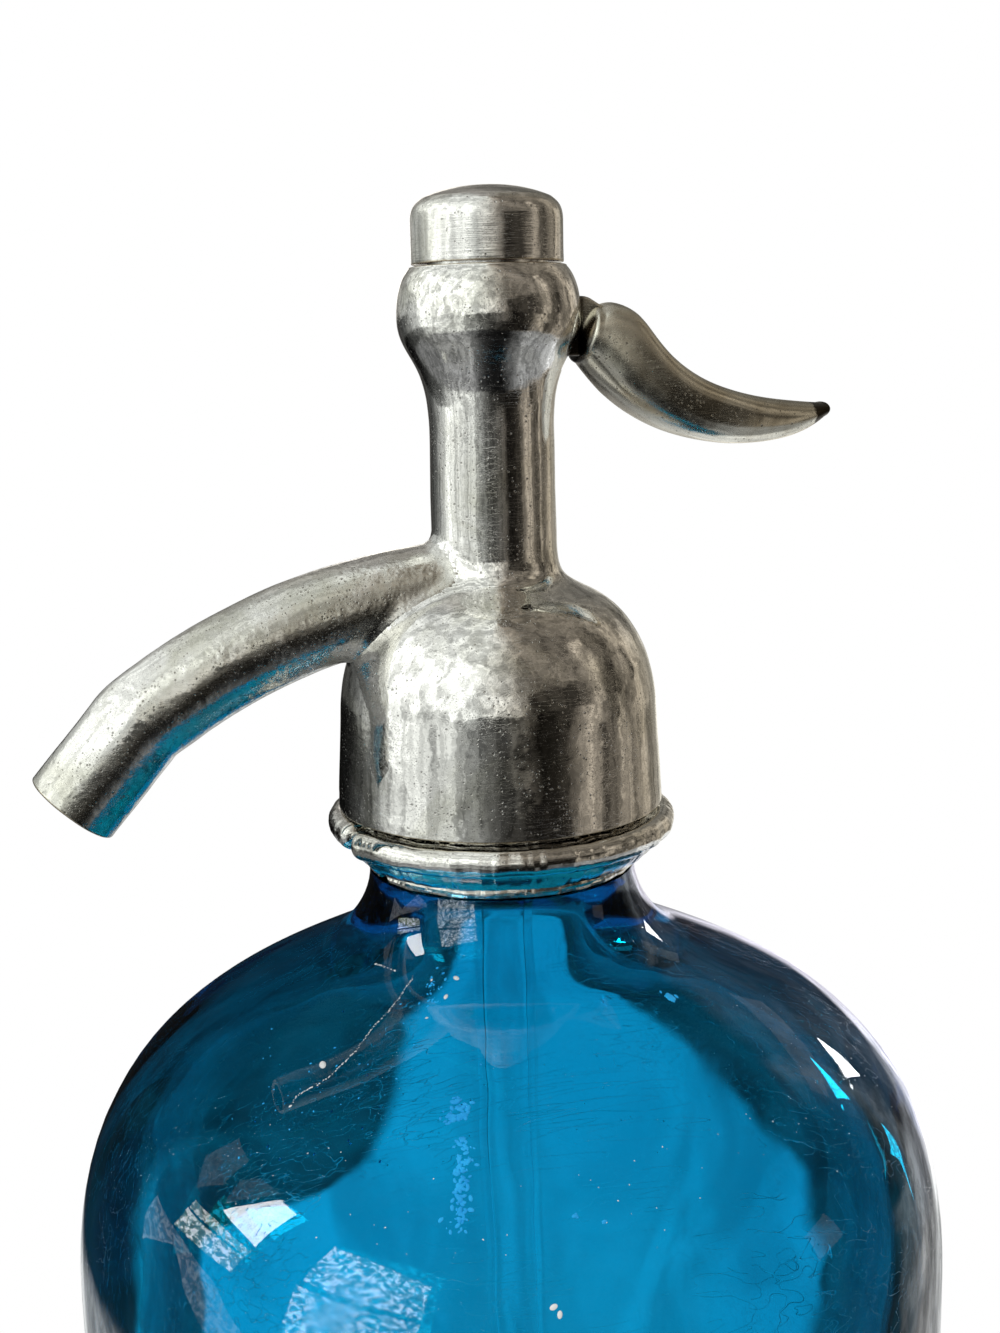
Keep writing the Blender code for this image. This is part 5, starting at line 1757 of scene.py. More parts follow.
@dataclass
class Spout:
    """The bent outlet tube: its long curve, the kink, the tool nicks and its open mouth."""

    radius: float = 5.85 * MM
    wall: float = 1.6 * MM
    root_reach: float = 4.4 * MM
    lead_reach: float = 12 * MM
    lead_angle: float = math.radians(8)
    bend_angle: float = math.radians(28)
    bend_radius: float = 70 * MM
    kink_angle: float = math.radians(13)
    kink_radius: float = 10 * MM
    tail: float = 11.8 * MM
    head_top_above_edge: float = 26.45 * MM
    spacing: float = 0.5 * MM
    steps: int = 112
    fillet: float = 1.5 * MM
    lip: float = 0.28 * MM
    skin_depth: float = 0.4 * MM
    skin_fade: float = 0.3 * MM
    nick_lead: float = 1.6 * MM
    nick_size: tuple[float, float] = (0.22 * MM, 0.2)
    nick_depth: float = 0.22 * MM
    nick_lean: float = 1.1 * MM
    flat_lift: float = 0.05 * MM
    flat_shift: float = 0.6 * MM
    flat_length: float = 2.4 * MM
    kink_dent: float = 0.12 * MM
    dent_length: float = 1.6 * MM
    swells: tuple = ((6 * MM, 0.08 * MM, 9.0), (1.6 * MM, 0.018 * MM, 3.0))
    nick_places: tuple = ((0.0, -0.5), (0.9, -0.62), (1.8, -0.42), (2.7, -0.55), (3.7, -0.38))

    def route(self) -> tuple[list[Vector], list[float]]:
        """The tube's axis.

        Returns:
            Its points from root to mouth and the heading below the level at each.
        """
        top_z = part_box("head_body")[0].z + self.head_top_above_edge
        start = Vector((-self.lead_reach, 0.0, top_z))
        headings, points = [self.lead_angle], [start]
        heading = self.lead_angle
        back = Vector((math.cos(heading), 0.0, math.sin(heading)))
        lead = (self.lead_reach - self.root_reach) / math.cos(heading)
        count = math.ceil(lead / self.spacing)
        lead_points = [start + back * (lead * (count - step) / count) for step in range(count)]
        for turn, radius in ((self.bend_angle, self.bend_radius), (self.kink_angle, self.kink_radius)):
            origin = points[-1]
            count = max(6, math.ceil(turn * radius / self.spacing))
            for step in range(1, count + 1):
                angle = heading + turn * step / count
                across = radius * (math.sin(angle) - math.sin(heading))
                down = radius * (math.cos(heading) - math.cos(angle))
                points.append(origin + Vector((-across, 0.0, -down)))
                headings.append(angle)
            heading += turn
        ahead = Vector((-math.cos(heading), 0.0, -math.sin(heading)))
        count = math.ceil(self.tail / self.spacing)
        origin = points[-1]
        for step in range(1, count + 1):
            points.append(origin + ahead * (self.tail * step / count))
            headings.append(heading)
        return [*lead_points, *points], [self.lead_angle] * len(lead_points) + headings

    @staticmethod
    def _station(point: Vector, heading: float, radius: float) -> Station:
        """A ring square to the axis."""
        up = Vector((-math.sin(heading), 0.0, math.cos(heading)))
        return Station(point, Vector((0.0, -radius, 0.0)), up * radius)

    def build(self, plating: Material) -> None:
        """Build and dress the spout.

        Args:
            plating: The finish.
        """
        points, headings = self.route()
        lip = self.lip
        bore = self.radius - self.wall
        rings = [self._station(p, h, self.radius) for p, h in zip(points, headings)]
        ahead = (points[-1] - points[-2]).normalized()
        rings[-1] = self._station(points[-1] - ahead * lip, headings[-1], self.radius)
        for step in range(1, 5):
            angle = math.pi / 2 * step / 4
            place = points[-1] - ahead * lip * (1 - math.sin(angle))
            rings.append(self._station(place, headings[-1], self.radius - lip * (1 - math.cos(angle))))
        rings.append(self._station(points[-1], headings[-1], bore + lip))
        rings.append(self._station(points[-1] - ahead * lip * 0.3, headings[-1], bore + lip * 0.3))
        inner = list(zip(points, headings))[::-2]
        rings.append(self._station(points[-1] - ahead * lip, headings[-1], bore))
        rings += [self._station(p, h, bore) for p, h in inner[1:]]
        if inner[-1][0] != points[0]:
            rings.append(self._station(points[0], headings[0], bore))
        rings.append(rings[0])
        mesh = edit_mesh(LOFT.build("spout_tube", rings, plating, self.steps))
        self._work(mesh, points, headings)
        stand("spout_tube", mesh, plating, Slot.PLATING, Body.SIPHON, "spout")

    def _work(self, mesh: Mesh, points: list[Vector], headings: list[float]) -> None:
        """Bend marks, nicks, slow waves and the rounded joint with the head.

        Args:
            mesh: The tube.
            points: Points of its axis.
            headings: The heading at each.
        """
        co = points_of(mesh)
        axis = np.array(points)
        nearest = np.argmin(((co[:, None, ::2] - axis[None, :, ::2]) ** 2).sum(2), axis=1)
        heading = np.array(headings)[nearest]
        offset = co - axis[nearest]
        up = -np.sin(heading) * offset[:, 0] + np.cos(heading) * offset[:, 2]
        away = np.hypot(up, offset[:, 1])
        outside = np.clip((away - (self.radius - self.skin_depth)) / self.skin_fade, 0, 1)
        out = np.stack([-np.sin(heading) * up, offset[:, 1], np.cos(heading) * up], 1)
        out /= np.maximum(away, 1e-9)[:, None]
        steps = np.linalg.norm(np.diff(axis, axis=0), axis=1)
        along = np.concatenate([[0], np.cumsum(steps)])[nearest]
        around = np.arctan2(offset[:, 1], up)
        kink_place = along.max() - self.tail - self.kink_angle * self.kink_radius
        push = np.zeros(len(co))
        for shift, turn in self.nick_places:
            place = kink_place - self.nick_lead + shift * MM
            lean = (around - turn) * self.nick_lean
            narrow = np.exp(-(((along - place - lean) / self.nick_size[0]) ** 2))
            push -= narrow * np.exp(-(((around - turn) / self.nick_size[1]) ** 2)) * self.nick_depth
        flat = np.exp(-(((along - kink_place - self.flat_shift) / self.flat_length) ** 2))
        push += flat * np.clip(np.cos(around), 0, 1) ** 2 * self.flat_lift
        under = np.exp(-(((along - kink_place) / self.dent_length) ** 2))
        push -= under * np.clip(-np.cos(around), 0, 1) ** 4 * self.kink_dent
        reach = np.hypot(co[:, 0], co[:, 1])
        gap = self._gap_to_head(reach, co[:, 2])
        push += np.clip(1 - gap / self.fillet, 0, 1) ** 2 * self.fillet * 0.45
        move_points(mesh, co + out * (push * outside)[:, None])
        for size, depth, seed in self.swells:
            ripple(mesh, size, depth, seed, outside)

    @staticmethod
    def _gap_to_head(reach: np.ndarray, height: np.ndarray) -> np.ndarray:
        """Rough distance from points to the head's skin.

        Args:
            reach: Distances from the Z axis.
            height: Heights.

        Returns:
            The distance of each point.
        """
        outline = np.array(HeadCasting().outline())
        skin = outline[: int(len(outline) * 0.8)]
        spread = np.hypot(reach[:, None] - skin[None, :, 0], height[:, None] - skin[None, :, 1])
        return spread.min(1)


@dataclass
class Cap:
    """The turned thimble on the bulb and the spring that it holds down."""

    side_height: float = 4.9 * MM
    shoulder_height: float = 4.15 * MM
    crown_radius: float = 7.8 * MM
    crown_rise: float = 1.42 * MM
    crown_power: float = 2.5
    spigot_radius: float = 7.3 * MM
    bore: float = 5.9 * MM
    roof: float = 2.7 * MM
    edge_round: float = 0.12 * MM
    shoulder_pulls: tuple = ((0.52, 0.2), (0.0, 0.62))
    steps: int = 128
    coil_radius: float = 4.2 * MM
    wire_radius: float = 0.4 * MM
    turns: int = 5
    lift: float = 2.0 * MM
    swell_size: float = 5 * MM
    swell_depth: float = 0.04 * MM
    crown_fade: float = 0.1 * MM
    side_fade: float = 0.8 * MM

    def build(self, plating: Material, steel: Material) -> None:
        """Build and dress the cap and the spring.

        Args:
            plating: The cap's finish.
            steel: The spring's finish.
        """
        low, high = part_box("cap")
        radius, top = high.x, high.z
        side_z = top - self.shoulder_height
        edge_z = side_z - self.side_height
        crown = []
        for step in range(31):
            share = step / 30
            crown.append((self.crown_radius * share, top - self.crown_rise * share ** self.crown_power))
        crown = chain(crown, bend(crown[-1], (radius, side_z), self.shoulder_pulls, 24))
        edge = eased([
            (radius, side_z), (radius, edge_z, self.edge_round), (self.spigot_radius, edge_z),
            (self.spigot_radius, low.z), (self.bore, low.z), (self.bore, top - self.roof),
            (0.0, top - self.roof),
        ])
        outline = densified(chain(crown, edge), 0.5 * MM)
        mesh = edit_mesh(LOFT.build("cap_thimble", turned_stations(outline), plating, self.steps))
        height = points_of(mesh)[:, 2]
        kept = (height > edge_z + self.side_fade) * np.clip((top - height) / self.crown_fade, 0, 1)
        ripple(mesh, self.swell_size, self.swell_depth, 11.0, kept)
        stand("cap_thimble", mesh, plating, Slot.PLATING, Body.SIPHON, "cap")
        self._build_spring(steel)

    def _build_spring(self, steel: Material) -> None:
        """Wind the return spring and give it its own mesh.

        Args:
            steel: The spring's finish.
        """
        low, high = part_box("return_spring")
        foot, top = low.z + self.wire_radius, high.z - self.wire_radius
        count = self.turns * 30
        stations = []
        for step in range(count + 1):
            angle = math.tau * self.turns * step / count
            side = Vector((math.cos(angle), math.sin(angle), 0.0))
            centre = side * self.coil_radius + Vector((0.0, 0.0, foot + (top - foot) * step / count))
            stations.append(Station(centre, side * self.wire_radius, Vector((0.0, 0.0, self.wire_radius))))
        for end, row in ((0, 0), (-1, len(stations) + 1)):
            tip = stations[end]
            stations.insert(row, Station(tip.centre, tip.across * 0.001, tip.along * 0.001))
        mesh = edit_mesh(LOFT.build("spring_coil", stations, steel, 12))
        piece = stand("spring_coil", mesh, steel, Slot.STEEL, Body.SIPHON, "return_spring")
        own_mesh(piece)


@dataclass
class Lever:
    """The thumb lever: lens-shaped horn, short neck, hub and the fork that lifts the stem."""

    tip_reach: float = 43.3 * MM
    tip_drops: tuple[float, float] = (9.9 * MM, 11.9 * MM)
    root_top: tuple[float, float] = (15.4 * MM, 3.0 * MM)
    root_crest: tuple = ((13.7 * MM, 2.6 * MM), (14.2 * MM, 2.86 * MM), (14.8 * MM, 3.0 * MM))
    root_foot: tuple[float, float] = (11.3 * MM, -4.3 * MM)
    half_width: float = 6.2 * MM
    top_pulls: tuple = ((0.25, 0.1), (0.93, 0.125))
    foot_pulls: tuple = ((0.336, 1.831), (0.114, -0.451))
    width_shares: tuple = (0.8, 0.94, 1.0, 1.0, 0.95, 0.85, 0.7, 0.45)
    shoulder_bulge: float = 1.5 * MM
    end_power: float = 0.72
    least_share: float = 0.0005
    tip_bulge: float = 0.8 * MM
    root_powers: tuple[float, float] = (0.9, 0.9)
    middle_powers: tuple[float, float] = (0.62, 0.66)
    tip_powers: tuple[float, float] = (0.9, 1.1)
    stations: int = 80
    steps: int = 96
    arm_reach: float = 8.8 * MM
    arm_half_height: float = 1.1 * MM
    arm_half_width: float = 3.4 * MM
    neck_half_width: float = 2.3 * MM
    neck_taper: tuple[float, float] = (2.0 * MM, 3.0 * MM)
    fork_half_gap: float = 1.9 * MM
    hub_radius: float = 3.3 * MM
    neck_corners: tuple = (
        (4.9 * MM, -3.4 * MM), (8.2 * MM, 2.2 * MM), (5.6 * MM, 2.5 * MM, 0.8 * MM),
        (3.4 * MM, 3.9 * MM, 0.9 * MM),
    )
    rim_bevel: float = 0.35 * MM
    rim_angle: float = 1.2
    pin_hole: float = 1.15 * MM
    pin_ease: float = 0.15 * MM
    swell_size: float = 6 * MM
    swell_depth: float = 0.07 * MM

    def pivot(self) -> Vector:
        """The middle of the pin."""
        low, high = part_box("lever_pin")
        return Vector(((low.x + high.x) / 2, 0.0, (low.z + high.z) / 2))

    def horn(self, finish: Material) -> Mesh:
        """Loft the thumb horn between its top edge and its foot edge.

        Args:
            finish: The finish.

        Returns:
            The horn.
        """
        pivot_z = self.pivot().z
        root_top = (self.root_top[0], pivot_z + self.root_top[1])
        root_foot = (self.root_foot[0], pivot_z + self.root_foot[1])
        top = bend(root_top, (self.tip_reach, pivot_z - self.tip_drops[0]), self.top_pulls, 200)
        foot = bend(root_foot, (self.tip_reach, pivot_z - self.tip_drops[1]), self.foot_pulls, 200)
        crest = [(x, pivot_z + z) for x, z in self.root_crest]
        uppers, lowers = self._even(chain(crest, top)), self._even(foot)
        places = np.linspace(0, 1, self.stations)
        widths = np.interp(places, np.linspace(0, 1, len(self.width_shares)), self.width_shares)
        kernel = np.ones(9) / 9
        widths = np.convolve(np.pad(widths, 4, mode="edge"), kernel, mode="valid")
        blend = [np.interp(places, (0, 0.14, 0.6, 1), group) for group in zip(
            self.root_powers, self.middle_powers, self.middle_powers, self.tip_powers,
        )]
        rings = []
        for index, (upper, lower, width) in enumerate(zip(uppers, lowers, widths)):
            middle, rise = (upper + lower) / 2, (upper - lower) / 2
            rings.append(Station(
                Vector((middle[0], 0.0, middle[1])), Vector((0.0, -self.half_width * width, 0.0)),
                Vector((rise[0], 0.0, rise[1])), Vector((blend[0][index], blend[1][index], 0.0)),
            ))
        root, tip = rings[0], rings[-1]
        rise = root.along.normalized()
        outward = Vector((-rise.z, 0.0, rise.x)) * self.shoulder_bulge
        ahead = (tip.centre - rings[-2].centre).normalized() * self.tip_bulge
        rings = [*self._closing(root, outward)[::-1], *rings, *self._closing(tip, ahead)]
        return edit_mesh(LOFT.build("thumb_lever", rings, finish, self.steps))

    def _closing(self, ring: Station, outward: Vector, count: int = 20) -> list[Station]:
        """Rings that close an end with a full, rounded bulge.

        Args:
            ring: The last ring.
            outward: The bulge's reach.
            count: Number of rings.

        Returns:
            The rings from that one outwards.
        """
        rings = []
        for step in range(1, count + 1):
            angle = math.pi / 2 * step / count
            share = max(max(math.cos(angle), 0.0) ** self.end_power, self.least_share)
            centre = ring.centre + outward * math.sin(angle) ** self.end_power
            rings.append(Station(centre, ring.across * share, ring.along * share, ring.powers))
        return rings

    def _even(self, run: Run) -> list[np.ndarray]:
        """Points spaced evenly along a run.

        Args:
            run: The run.

        Returns:
            The points in order.
        """
        points = np.array(run)
        lengths = np.concatenate([[0], np.cumsum(np.linalg.norm(np.diff(points, axis=0), axis=1))])
        wanted = np.linspace(0, lengths[-1], self.stations)
        return [
            np.array((np.interp(place, lengths, points[:, 0]), np.interp(place, lengths, points[:, 1])))
            for place in wanted
        ]

    def neck(self) -> Mesh:
        """Extrude the forked arm, the hub and the neck from their side outline.

        Returns:
            The arm and its neck.
        """
        pivot = self.pivot()
        flat = math.asin(self.arm_half_height / self.hub_radius)
        arc = []
        for step in range(13):
            angle = math.pi + flat + (math.pi / 2 - flat) * step / 12
            arc.append((self.hub_radius * math.cos(angle), self.hub_radius * math.sin(angle)))
        upper_arc = [(x, -z) for x, z in reversed(arc)]
        run = [(-self.arm_reach, -self.arm_half_height), *arc]
        run += eased([arc[-1], *self.neck_corners, upper_arc[0]])[1:-1]
        run += [*upper_arc, (-self.arm_reach, self.arm_half_height)]
        shape = bmesh.new()
        loops = []
        for side in (-self.arm_half_width, self.arm_half_width):
            loops.append([shape.verts.new((pivot.x + x, side, pivot.z + z)) for x, z in run])
        for index in range(len(run)):
            following = (index + 1) % len(run)
            shape.faces.new((loops[0][index], loops[0][following], loops[1][following], loops[1][index]))
        for loop in loops:
            shape.faces.new(loop)
        for reach in self.neck_taper:
            everything = [*shape.verts, *shape.edges, *shape.faces]
            place = (pivot.x + reach, 0.0, 0.0)
            bmesh.ops.bisect_plane(shape, geom=everything, plane_co=place, plane_no=(1.0, 0.0, 0.0))
        widths = (self.arm_half_width, self.neck_half_width)
        for vertex in shape.verts:
            half = np.interp(vertex.co.x - pivot.x, self.neck_taper, widths)
            vertex.co.y = math.copysign(half, vertex.co.y)
        bmesh.ops.recalc_face_normals(shape, faces=shape.faces)
        rims = [edge for edge in shape.edges if edge.calc_face_angle(0) > self.rim_angle]
        bmesh.ops.bevel(shape, geom=rims, offset=self.rim_bevel, segments=3, affect="EDGES", profile=0.5)
        mesh = bpy.data.meshes.new("lever_neck")
        shape.to_mesh(mesh)
        shape.free()
        return mesh

    def build(self, finish: Material, steel: Material) -> None:
        """Build and dress the lever and its pin.

        Args:
            finish: The lever's finish.
            steel: The pin's finish.
        """
        pivot = self.pivot()
        mesh = self.horn(finish)
        ripple(mesh, self.swell_size, self.swell_depth, 6.0)
        mesh = combined(mesh, self.neck(), "UNION")
        fork = box_mesh(
            (pivot.x - self.arm_reach - 2 * MM, -self.fork_half_gap, pivot.z - self.hub_radius),
            (pivot.x - self.hub_radius, self.fork_half_gap, pivot.z + self.hub_radius),
        )
        mesh = combined(mesh, fork, "DIFFERENCE")
        reach = Vector((0.0, self.arm_half_width + 2 * MM, 0.0))
        axle = rod_stations(pivot - reach, pivot + reach, self.pin_hole, 0.01 * MM)
        mesh = combined(mesh, edit_mesh(LOFT.build("hole", axle, finish, 32)), "DIFFERENCE")
        stand("thumb_lever", mesh, finish, Slot.LEVER, Body.LEVER, "lever")
        low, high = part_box("lever_pin")
        middle = Vector((pivot.x, 0.0, pivot.z))
        start, end = middle + Vector((0, low.y, 0)), middle + Vector((0, high.y, 0))
        rod = rod_stations(start, end, (high.x - low.x) / 2, self.pin_ease)
        pin = edit_mesh(LOFT.build("pivot_pin", rod, steel, 32))
        stand("pivot_pin", pin, steel, Slot.STEEL, Body.SIPHON, "lever_pin")


@dataclass
class Valve:
    """The turned pieces inside the head and on the stem, which keep their frame shapes."""

    brass_nodes: tuple[str, ...] = (
        "tube_holder", "packing_nut", "valve_stem", "lift_collar", "valve_foot", "washer_screw",
    )
    steel_nodes: tuple[str, ...] = ("spring_washer",)
    black_nodes: tuple[str, ...] = ("mouth_gasket", "stem_packing", "valve_washer")
    red_nodes: tuple[str, ...] = ("tube_bush", "cap_gasket")

    def dress(self, brass: Material, steel: Material, black: Material, red: Material) -> None:
        """Dress each piece.

        Args:
            brass: Finish of the turned pieces.
            steel: Finish of the spring washer.
            black: Finish of the black seals.
            red: Finish of the red seals.
        """
        dress(brass, *self.brass_nodes)
        dress(steel, *self.steel_nodes)
        dress(black, *self.black_nodes)
        dress(red, *self.red_nodes)


@dataclass(frozen=True)
class Pane:
    """One bright piece of the room.

    Its corners are (degrees round the siphon, height), its radiance is that of its lightest spots, its
    tint colours the rest, and leaves says how far the darker spots fall below the lightest.
    """

    corners: tuple
    radiance: float
    tint: Colour
    leaves: float


@dataclass
class Studio:
    """Floor, white surroundings, soft lamps, the camera and the rooms that metal and glass reflect.

    A room's zones are rows of (lower edge as a share of its radius, softness, (degrees, tone) stops),
    from the lowest up.
    """

    camera_place: Point = (-49.27 * MM, -197.60 * MM, 286.5 * MM)
    azimuth: float = math.radians(-14)
    pitch: float = math.radians(10.8)
    roll: float = math.radians(1.387)
    focal_pixels: float = 1650.0
    image_height: float = 1333.0
    centre_shift_pixels: float = 2.84
    sensor: float = 36.0
    ambient: float = 0.55
    floor_radius: float = 0.33
    floor_fade: tuple[float, float] = (0.10, 0.25)
    shell_radius: float = 1.15
    shell_height: float = 0.26
    shell_gap: float = 0.05
    pane_distance: float = 0.78
    metal_gain: float = 1.32
    metal_zones: tuple = (
        (None, 0.03, (
            (-180, 0.40), (-150, 0.16), (-110, 0.26), (-85, 0.32), (-45, 0.36), (-33, 0.12), (-22, 0.05),
            (-8, 0.02), (10, 0.02), (18, 0.08), (26, 0.17), (34, 0.28), (42, 0.38), (54, 0.34),
            (68, 0.28), (88, 0.36), (100, 0.65), (135, 0.65), (165, 0.62), (180, 0.40),
        )),
        (-0.39, 0.03, (
            (-180, 0.01), (-150, 0.02), (-130, 0.09), (-112, 0.20), (-100, 0.45), (-78, 0.68),
            (-45, 0.60), (-34, 0.36), (-22, 0.15), (-8, 0.08), (6, 0.035), (33, 0.035), (40, 0.20),
            (48, 0.46), (56, 0.40), (62, 0.12), (74, 0.14), (80, 0.42), (90, 0.38), (96, 0.14),
            (104, 0.32), (112, 0.44), (120, 0.18), (128, 0.32), (142, 0.40), (150, 0.80), (162, 0.60),
            (174, 0.30), (180, 0.05),
        )),
        (-0.17, 0.02, (
            (-180, 0.10), (-150, 0.10), (-138, 0.20), (-126, 0.35), (-112, 0.50), (-102, 0.88),
            (-88, 0.82), (-78, 0.72), (-66, 0.55), (-45, 0.60), (-36, 0.36), (-28, 0.20), (-18, 0.12),
            (0, 0.15), (8, 0.15), (14, 0.02), (26, 0.03), (34, 0.06), (44, 0.18), (52, 0.42), (62, 0.42),
            (68, 0.15), (78, 0.12), (84, 0.44), (92, 0.12), (100, 0.34), (112, 0.44), (130, 0.34),
            (142, 0.30), (150, 0.62), (170, 0.45), (180, 0.10),
        )),
        (0.05, 0.02, (
            (-180, 0.35), (-150, 0.42), (-135, 0.50), (-126, 0.42), (-116, 0.80), (-104, 0.95),
            (-90, 0.96), (-40, 0.88), (-33, 0.72), (-26, 0.70), (-14, 0.66), (-7, 0.56), (4, 0.40),
            (12, 0.08), (32, 0.07), (54, 0.12), (58, 0.36), (66, 0.38), (72, 0.12), (84, 0.07),
            (90, 0.28), (100, 0.32), (106, 0.08), (112, 0.56), (128, 0.44), (134, 0.16), (146, 0.26),
            (160, 0.30), (168, 0.85), (174, 1.2), (180, 0.35),
        )),
        (0.30, 0.03, (
            (-180, 0.30), (-162, 0.50), (-150, 0.68), (-138, 0.75), (-126, 0.93), (-114, 1.0), (-42, 1.0),
            (-30, 0.80), (-18, 0.58), (-6, 0.44), (6, 0.32), (18, 0.21), (30, 0.26), (42, 0.24),
            (54, 0.18), (62, 0.44), (70, 0.42), (76, 0.16), (90, 0.16), (104, 0.38), (126, 0.28),
            (150, 0.16), (180, 0.30),
        )),
        (0.69, 0.03, (
            (-180, 0.36), (-140, 0.66), (-30, 0.74), (0, 0.42), (35, 0.17), (100, 0.24), (150, 0.28),
            (180, 0.36),
        )),
    )
    metal_tints: tuple = (
        (-180, (1.0, 0.97, 0.90)), (-150, (0.97, 1.0, 0.96)), (-30, (0.97, 1.0, 0.95)),
        (-8, (1.0, 0.98, 0.89)), (14, (1.0, 0.88, 0.72)), (110, (1.0, 0.87, 0.68)),
        (150, (1.0, 0.95, 0.83)), (180, (1.0, 0.96, 0.90)),
    )
    glass_zones: tuple = (
        (None, 0.03, (
            (-180, 0.80), (-112, 0.70), (-96, 0.04), (96, 0.04), (112, 0.70), (180, 0.80),
        )),
        (-0.50, 0.03, (
            (-180, 0.01), (-130, 0.015), (-110, 0.04), (0, 0.03), (94, 0.05), (99, 0.50), (108, 0.60),
            (112, 1.20), (116, 1.0), (121, 0.50), (129, 0.70), (134, 1.3), (139, 2.1), (144, 1.2),
            (153, 1.4), (160, 0.03), (180, 0.01),
        )),
        (-0.17, 0.04, (
            (-180, 0.01), (-130, 0.015), (-110, 0.045), (0, 0.035), (100, 0.04), (109, 0.18), (114, 0.50),
            (119, 0.15), (127, 0.20), (138, 0.08), (152, 0.06), (165, 0.02), (180, 0.01),
        )),
        (0.55, 0.04, ((-180, 0.02), (-60, 0.04), (60, 0.03), (180, 0.02))),
    )
    glass_tints: tuple = (
        (-180, (0.92, 0.97, 1.0)), (-60, (0.85, 0.96, 1.0)), (60, (0.85, 0.95, 1.0)),
        (105, (0.84, 0.95, 1.0)), (150, (0.92, 0.88, 1.0)), (180, (0.92, 0.97, 1.0)),
    )
    card_distance: float = 0.125
    card_middle: float = 0.136
    card_size: tuple[float, float] = (0.30, 0.248)
    folds_top: float = 0.182
    folds_drop: float = 0.090
    folds_reach: float = 0.1
    folds_warp: float = 9 * MM
    folds_pale: tuple[Colour, Colour] = ((0.33, 0.45, 0.63), (0.50, 0.65, 0.90))
    folds_dim: tuple[Colour, Colour] = ((0.03, 0.05, 0.065), (0.09, 0.13, 0.165))
    folds_left: tuple = (
        (0.0, 0.10), (0.1, 0.18), (0.2, 0.22), (0.38, 0.26), (0.53, 0.27), (0.66, 0.33), (0.73, 0.42),
        (0.85, 0.70), (0.98, 0.95),
    )
    folds_right: tuple = (
        (0.0, 0.16), (0.1, 0.30), (0.2, 0.34), (0.38, 0.47), (0.53, 0.58), (0.78, 0.80), (1.0, 0.83),
    )
    panes: tuple[Pane, ...] = (
        Pane(((-99.1, 0.546), (-90.5, 0.826), (-82.0, 0.807), (-83.6, 0.511)), 16.0, (1.0, 1.0, 1.0), 0.15),
        Pane(((-100.5, 0.569), (-104.9, 0.718), (-102.2, 0.818), (-92.3, 0.850)), 0.6, (0.75, 0.9, 1.0), 0.3),
        Pane(
            ((-106.8, 0.307), (-106.8, 0.435), (-84.4, 0.425), (-85.3, 0.326)),
            9.0, (0.62, 0.80, 0.36), 0.85,
        ),
        Pane(
            ((-106.7, 0.445), (-106.7, 0.487), (-83.5, 0.474), (-84.3, 0.435)),
            8.0, (0.70, 0.85, 0.50), 0.8,
        ),
        Pane(((-66.6, 0.477), (-65.1, 0.734), (-35.1, 0.636), (-36.0, 0.424)), 8.0, (0.40, 0.80, 1.0), 0.93),
        Pane(((-69.4, 0.060), (-67.7, 0.441), (-36.2, 0.401), (-37.0, 0.050)), 7.0, (0.40, 0.80, 1.0), 0.93),
        Pane(
            ((-117.1, 0.341), (-115.9, 0.103), (-104.0, 0.215), (-106.9, 0.297)),
            1.6, (0.82, 0.86, 1.0), 0.7,
        ),
        Pane(((-106.9, 0.297), (-104.0, 0.215), (-98.0, 0.135), (-88.3, 0.224)), 1.6, (0.82, 0.86, 1.0), 0.7),
        Pane(((-88.3, 0.224), (-98.0, 0.135), (-89.2, 0.039), (-78.1, 0.120)), 1.4, (0.82, 0.86, 1.0), 0.7),
        Pane(
            ((-109.6, 0.513), (-118.6, 0.607), (-120.0, 0.794), (-110.6, 0.810), (-106.1, 0.624)),
            0.6, (1.0, 0.88, 0.86), 0.4,
        ),
        Pane(((107.0, 0.51), (107.0, 0.60), (131.0, 0.60), (131.0, 0.51)), 0.32, (1.0, 0.93, 0.95), 0.3),
        Pane(((124.4, 0.437), (122.2, 0.387), (117.8, 0.310), (114.6, 0.404)), 14.0, (1.0, 1.0, 1.0), 0.1),
        Pane(((113.2, 0.380), (112.0, 0.380), (112.0, 0.392), (113.2, 0.392)), 14.0, (1.0, 1.0, 1.0), 0.0),
        Pane(((63.0, 0.349), (73.4, 0.388), (74.9, 0.210), (64.3, 0.197)), 0.5, (1.0, 0.90, 0.90), 0.3),
    )
    glints: tuple[Pane, ...] = (
        Pane(((138.0, -0.10), (128.0, -0.10), (117.0, 0.09), (126.0, 0.11)), 3.4, (1.0, 1.0, 1.0), 0.6),
    )
    dusk_tones: tuple = (
        (-180, (0.06, 0.07, 0.075)), (-134, (0.04, 0.055, 0.06)), (-128, (0.55, 0.72, 0.85)),
        (-118, (0.50, 0.66, 0.80)), (-112, (0.05, 0.07, 0.075)), (-96, (0.12, 0.17, 0.19)),
        (-70, (0.30, 0.42, 0.50)), (30, (0.30, 0.42, 0.50)), (55, (0.05, 0.07, 0.075)),
        (140, (0.04, 0.055, 0.06)), (180, (0.06, 0.07, 0.075)),
    )

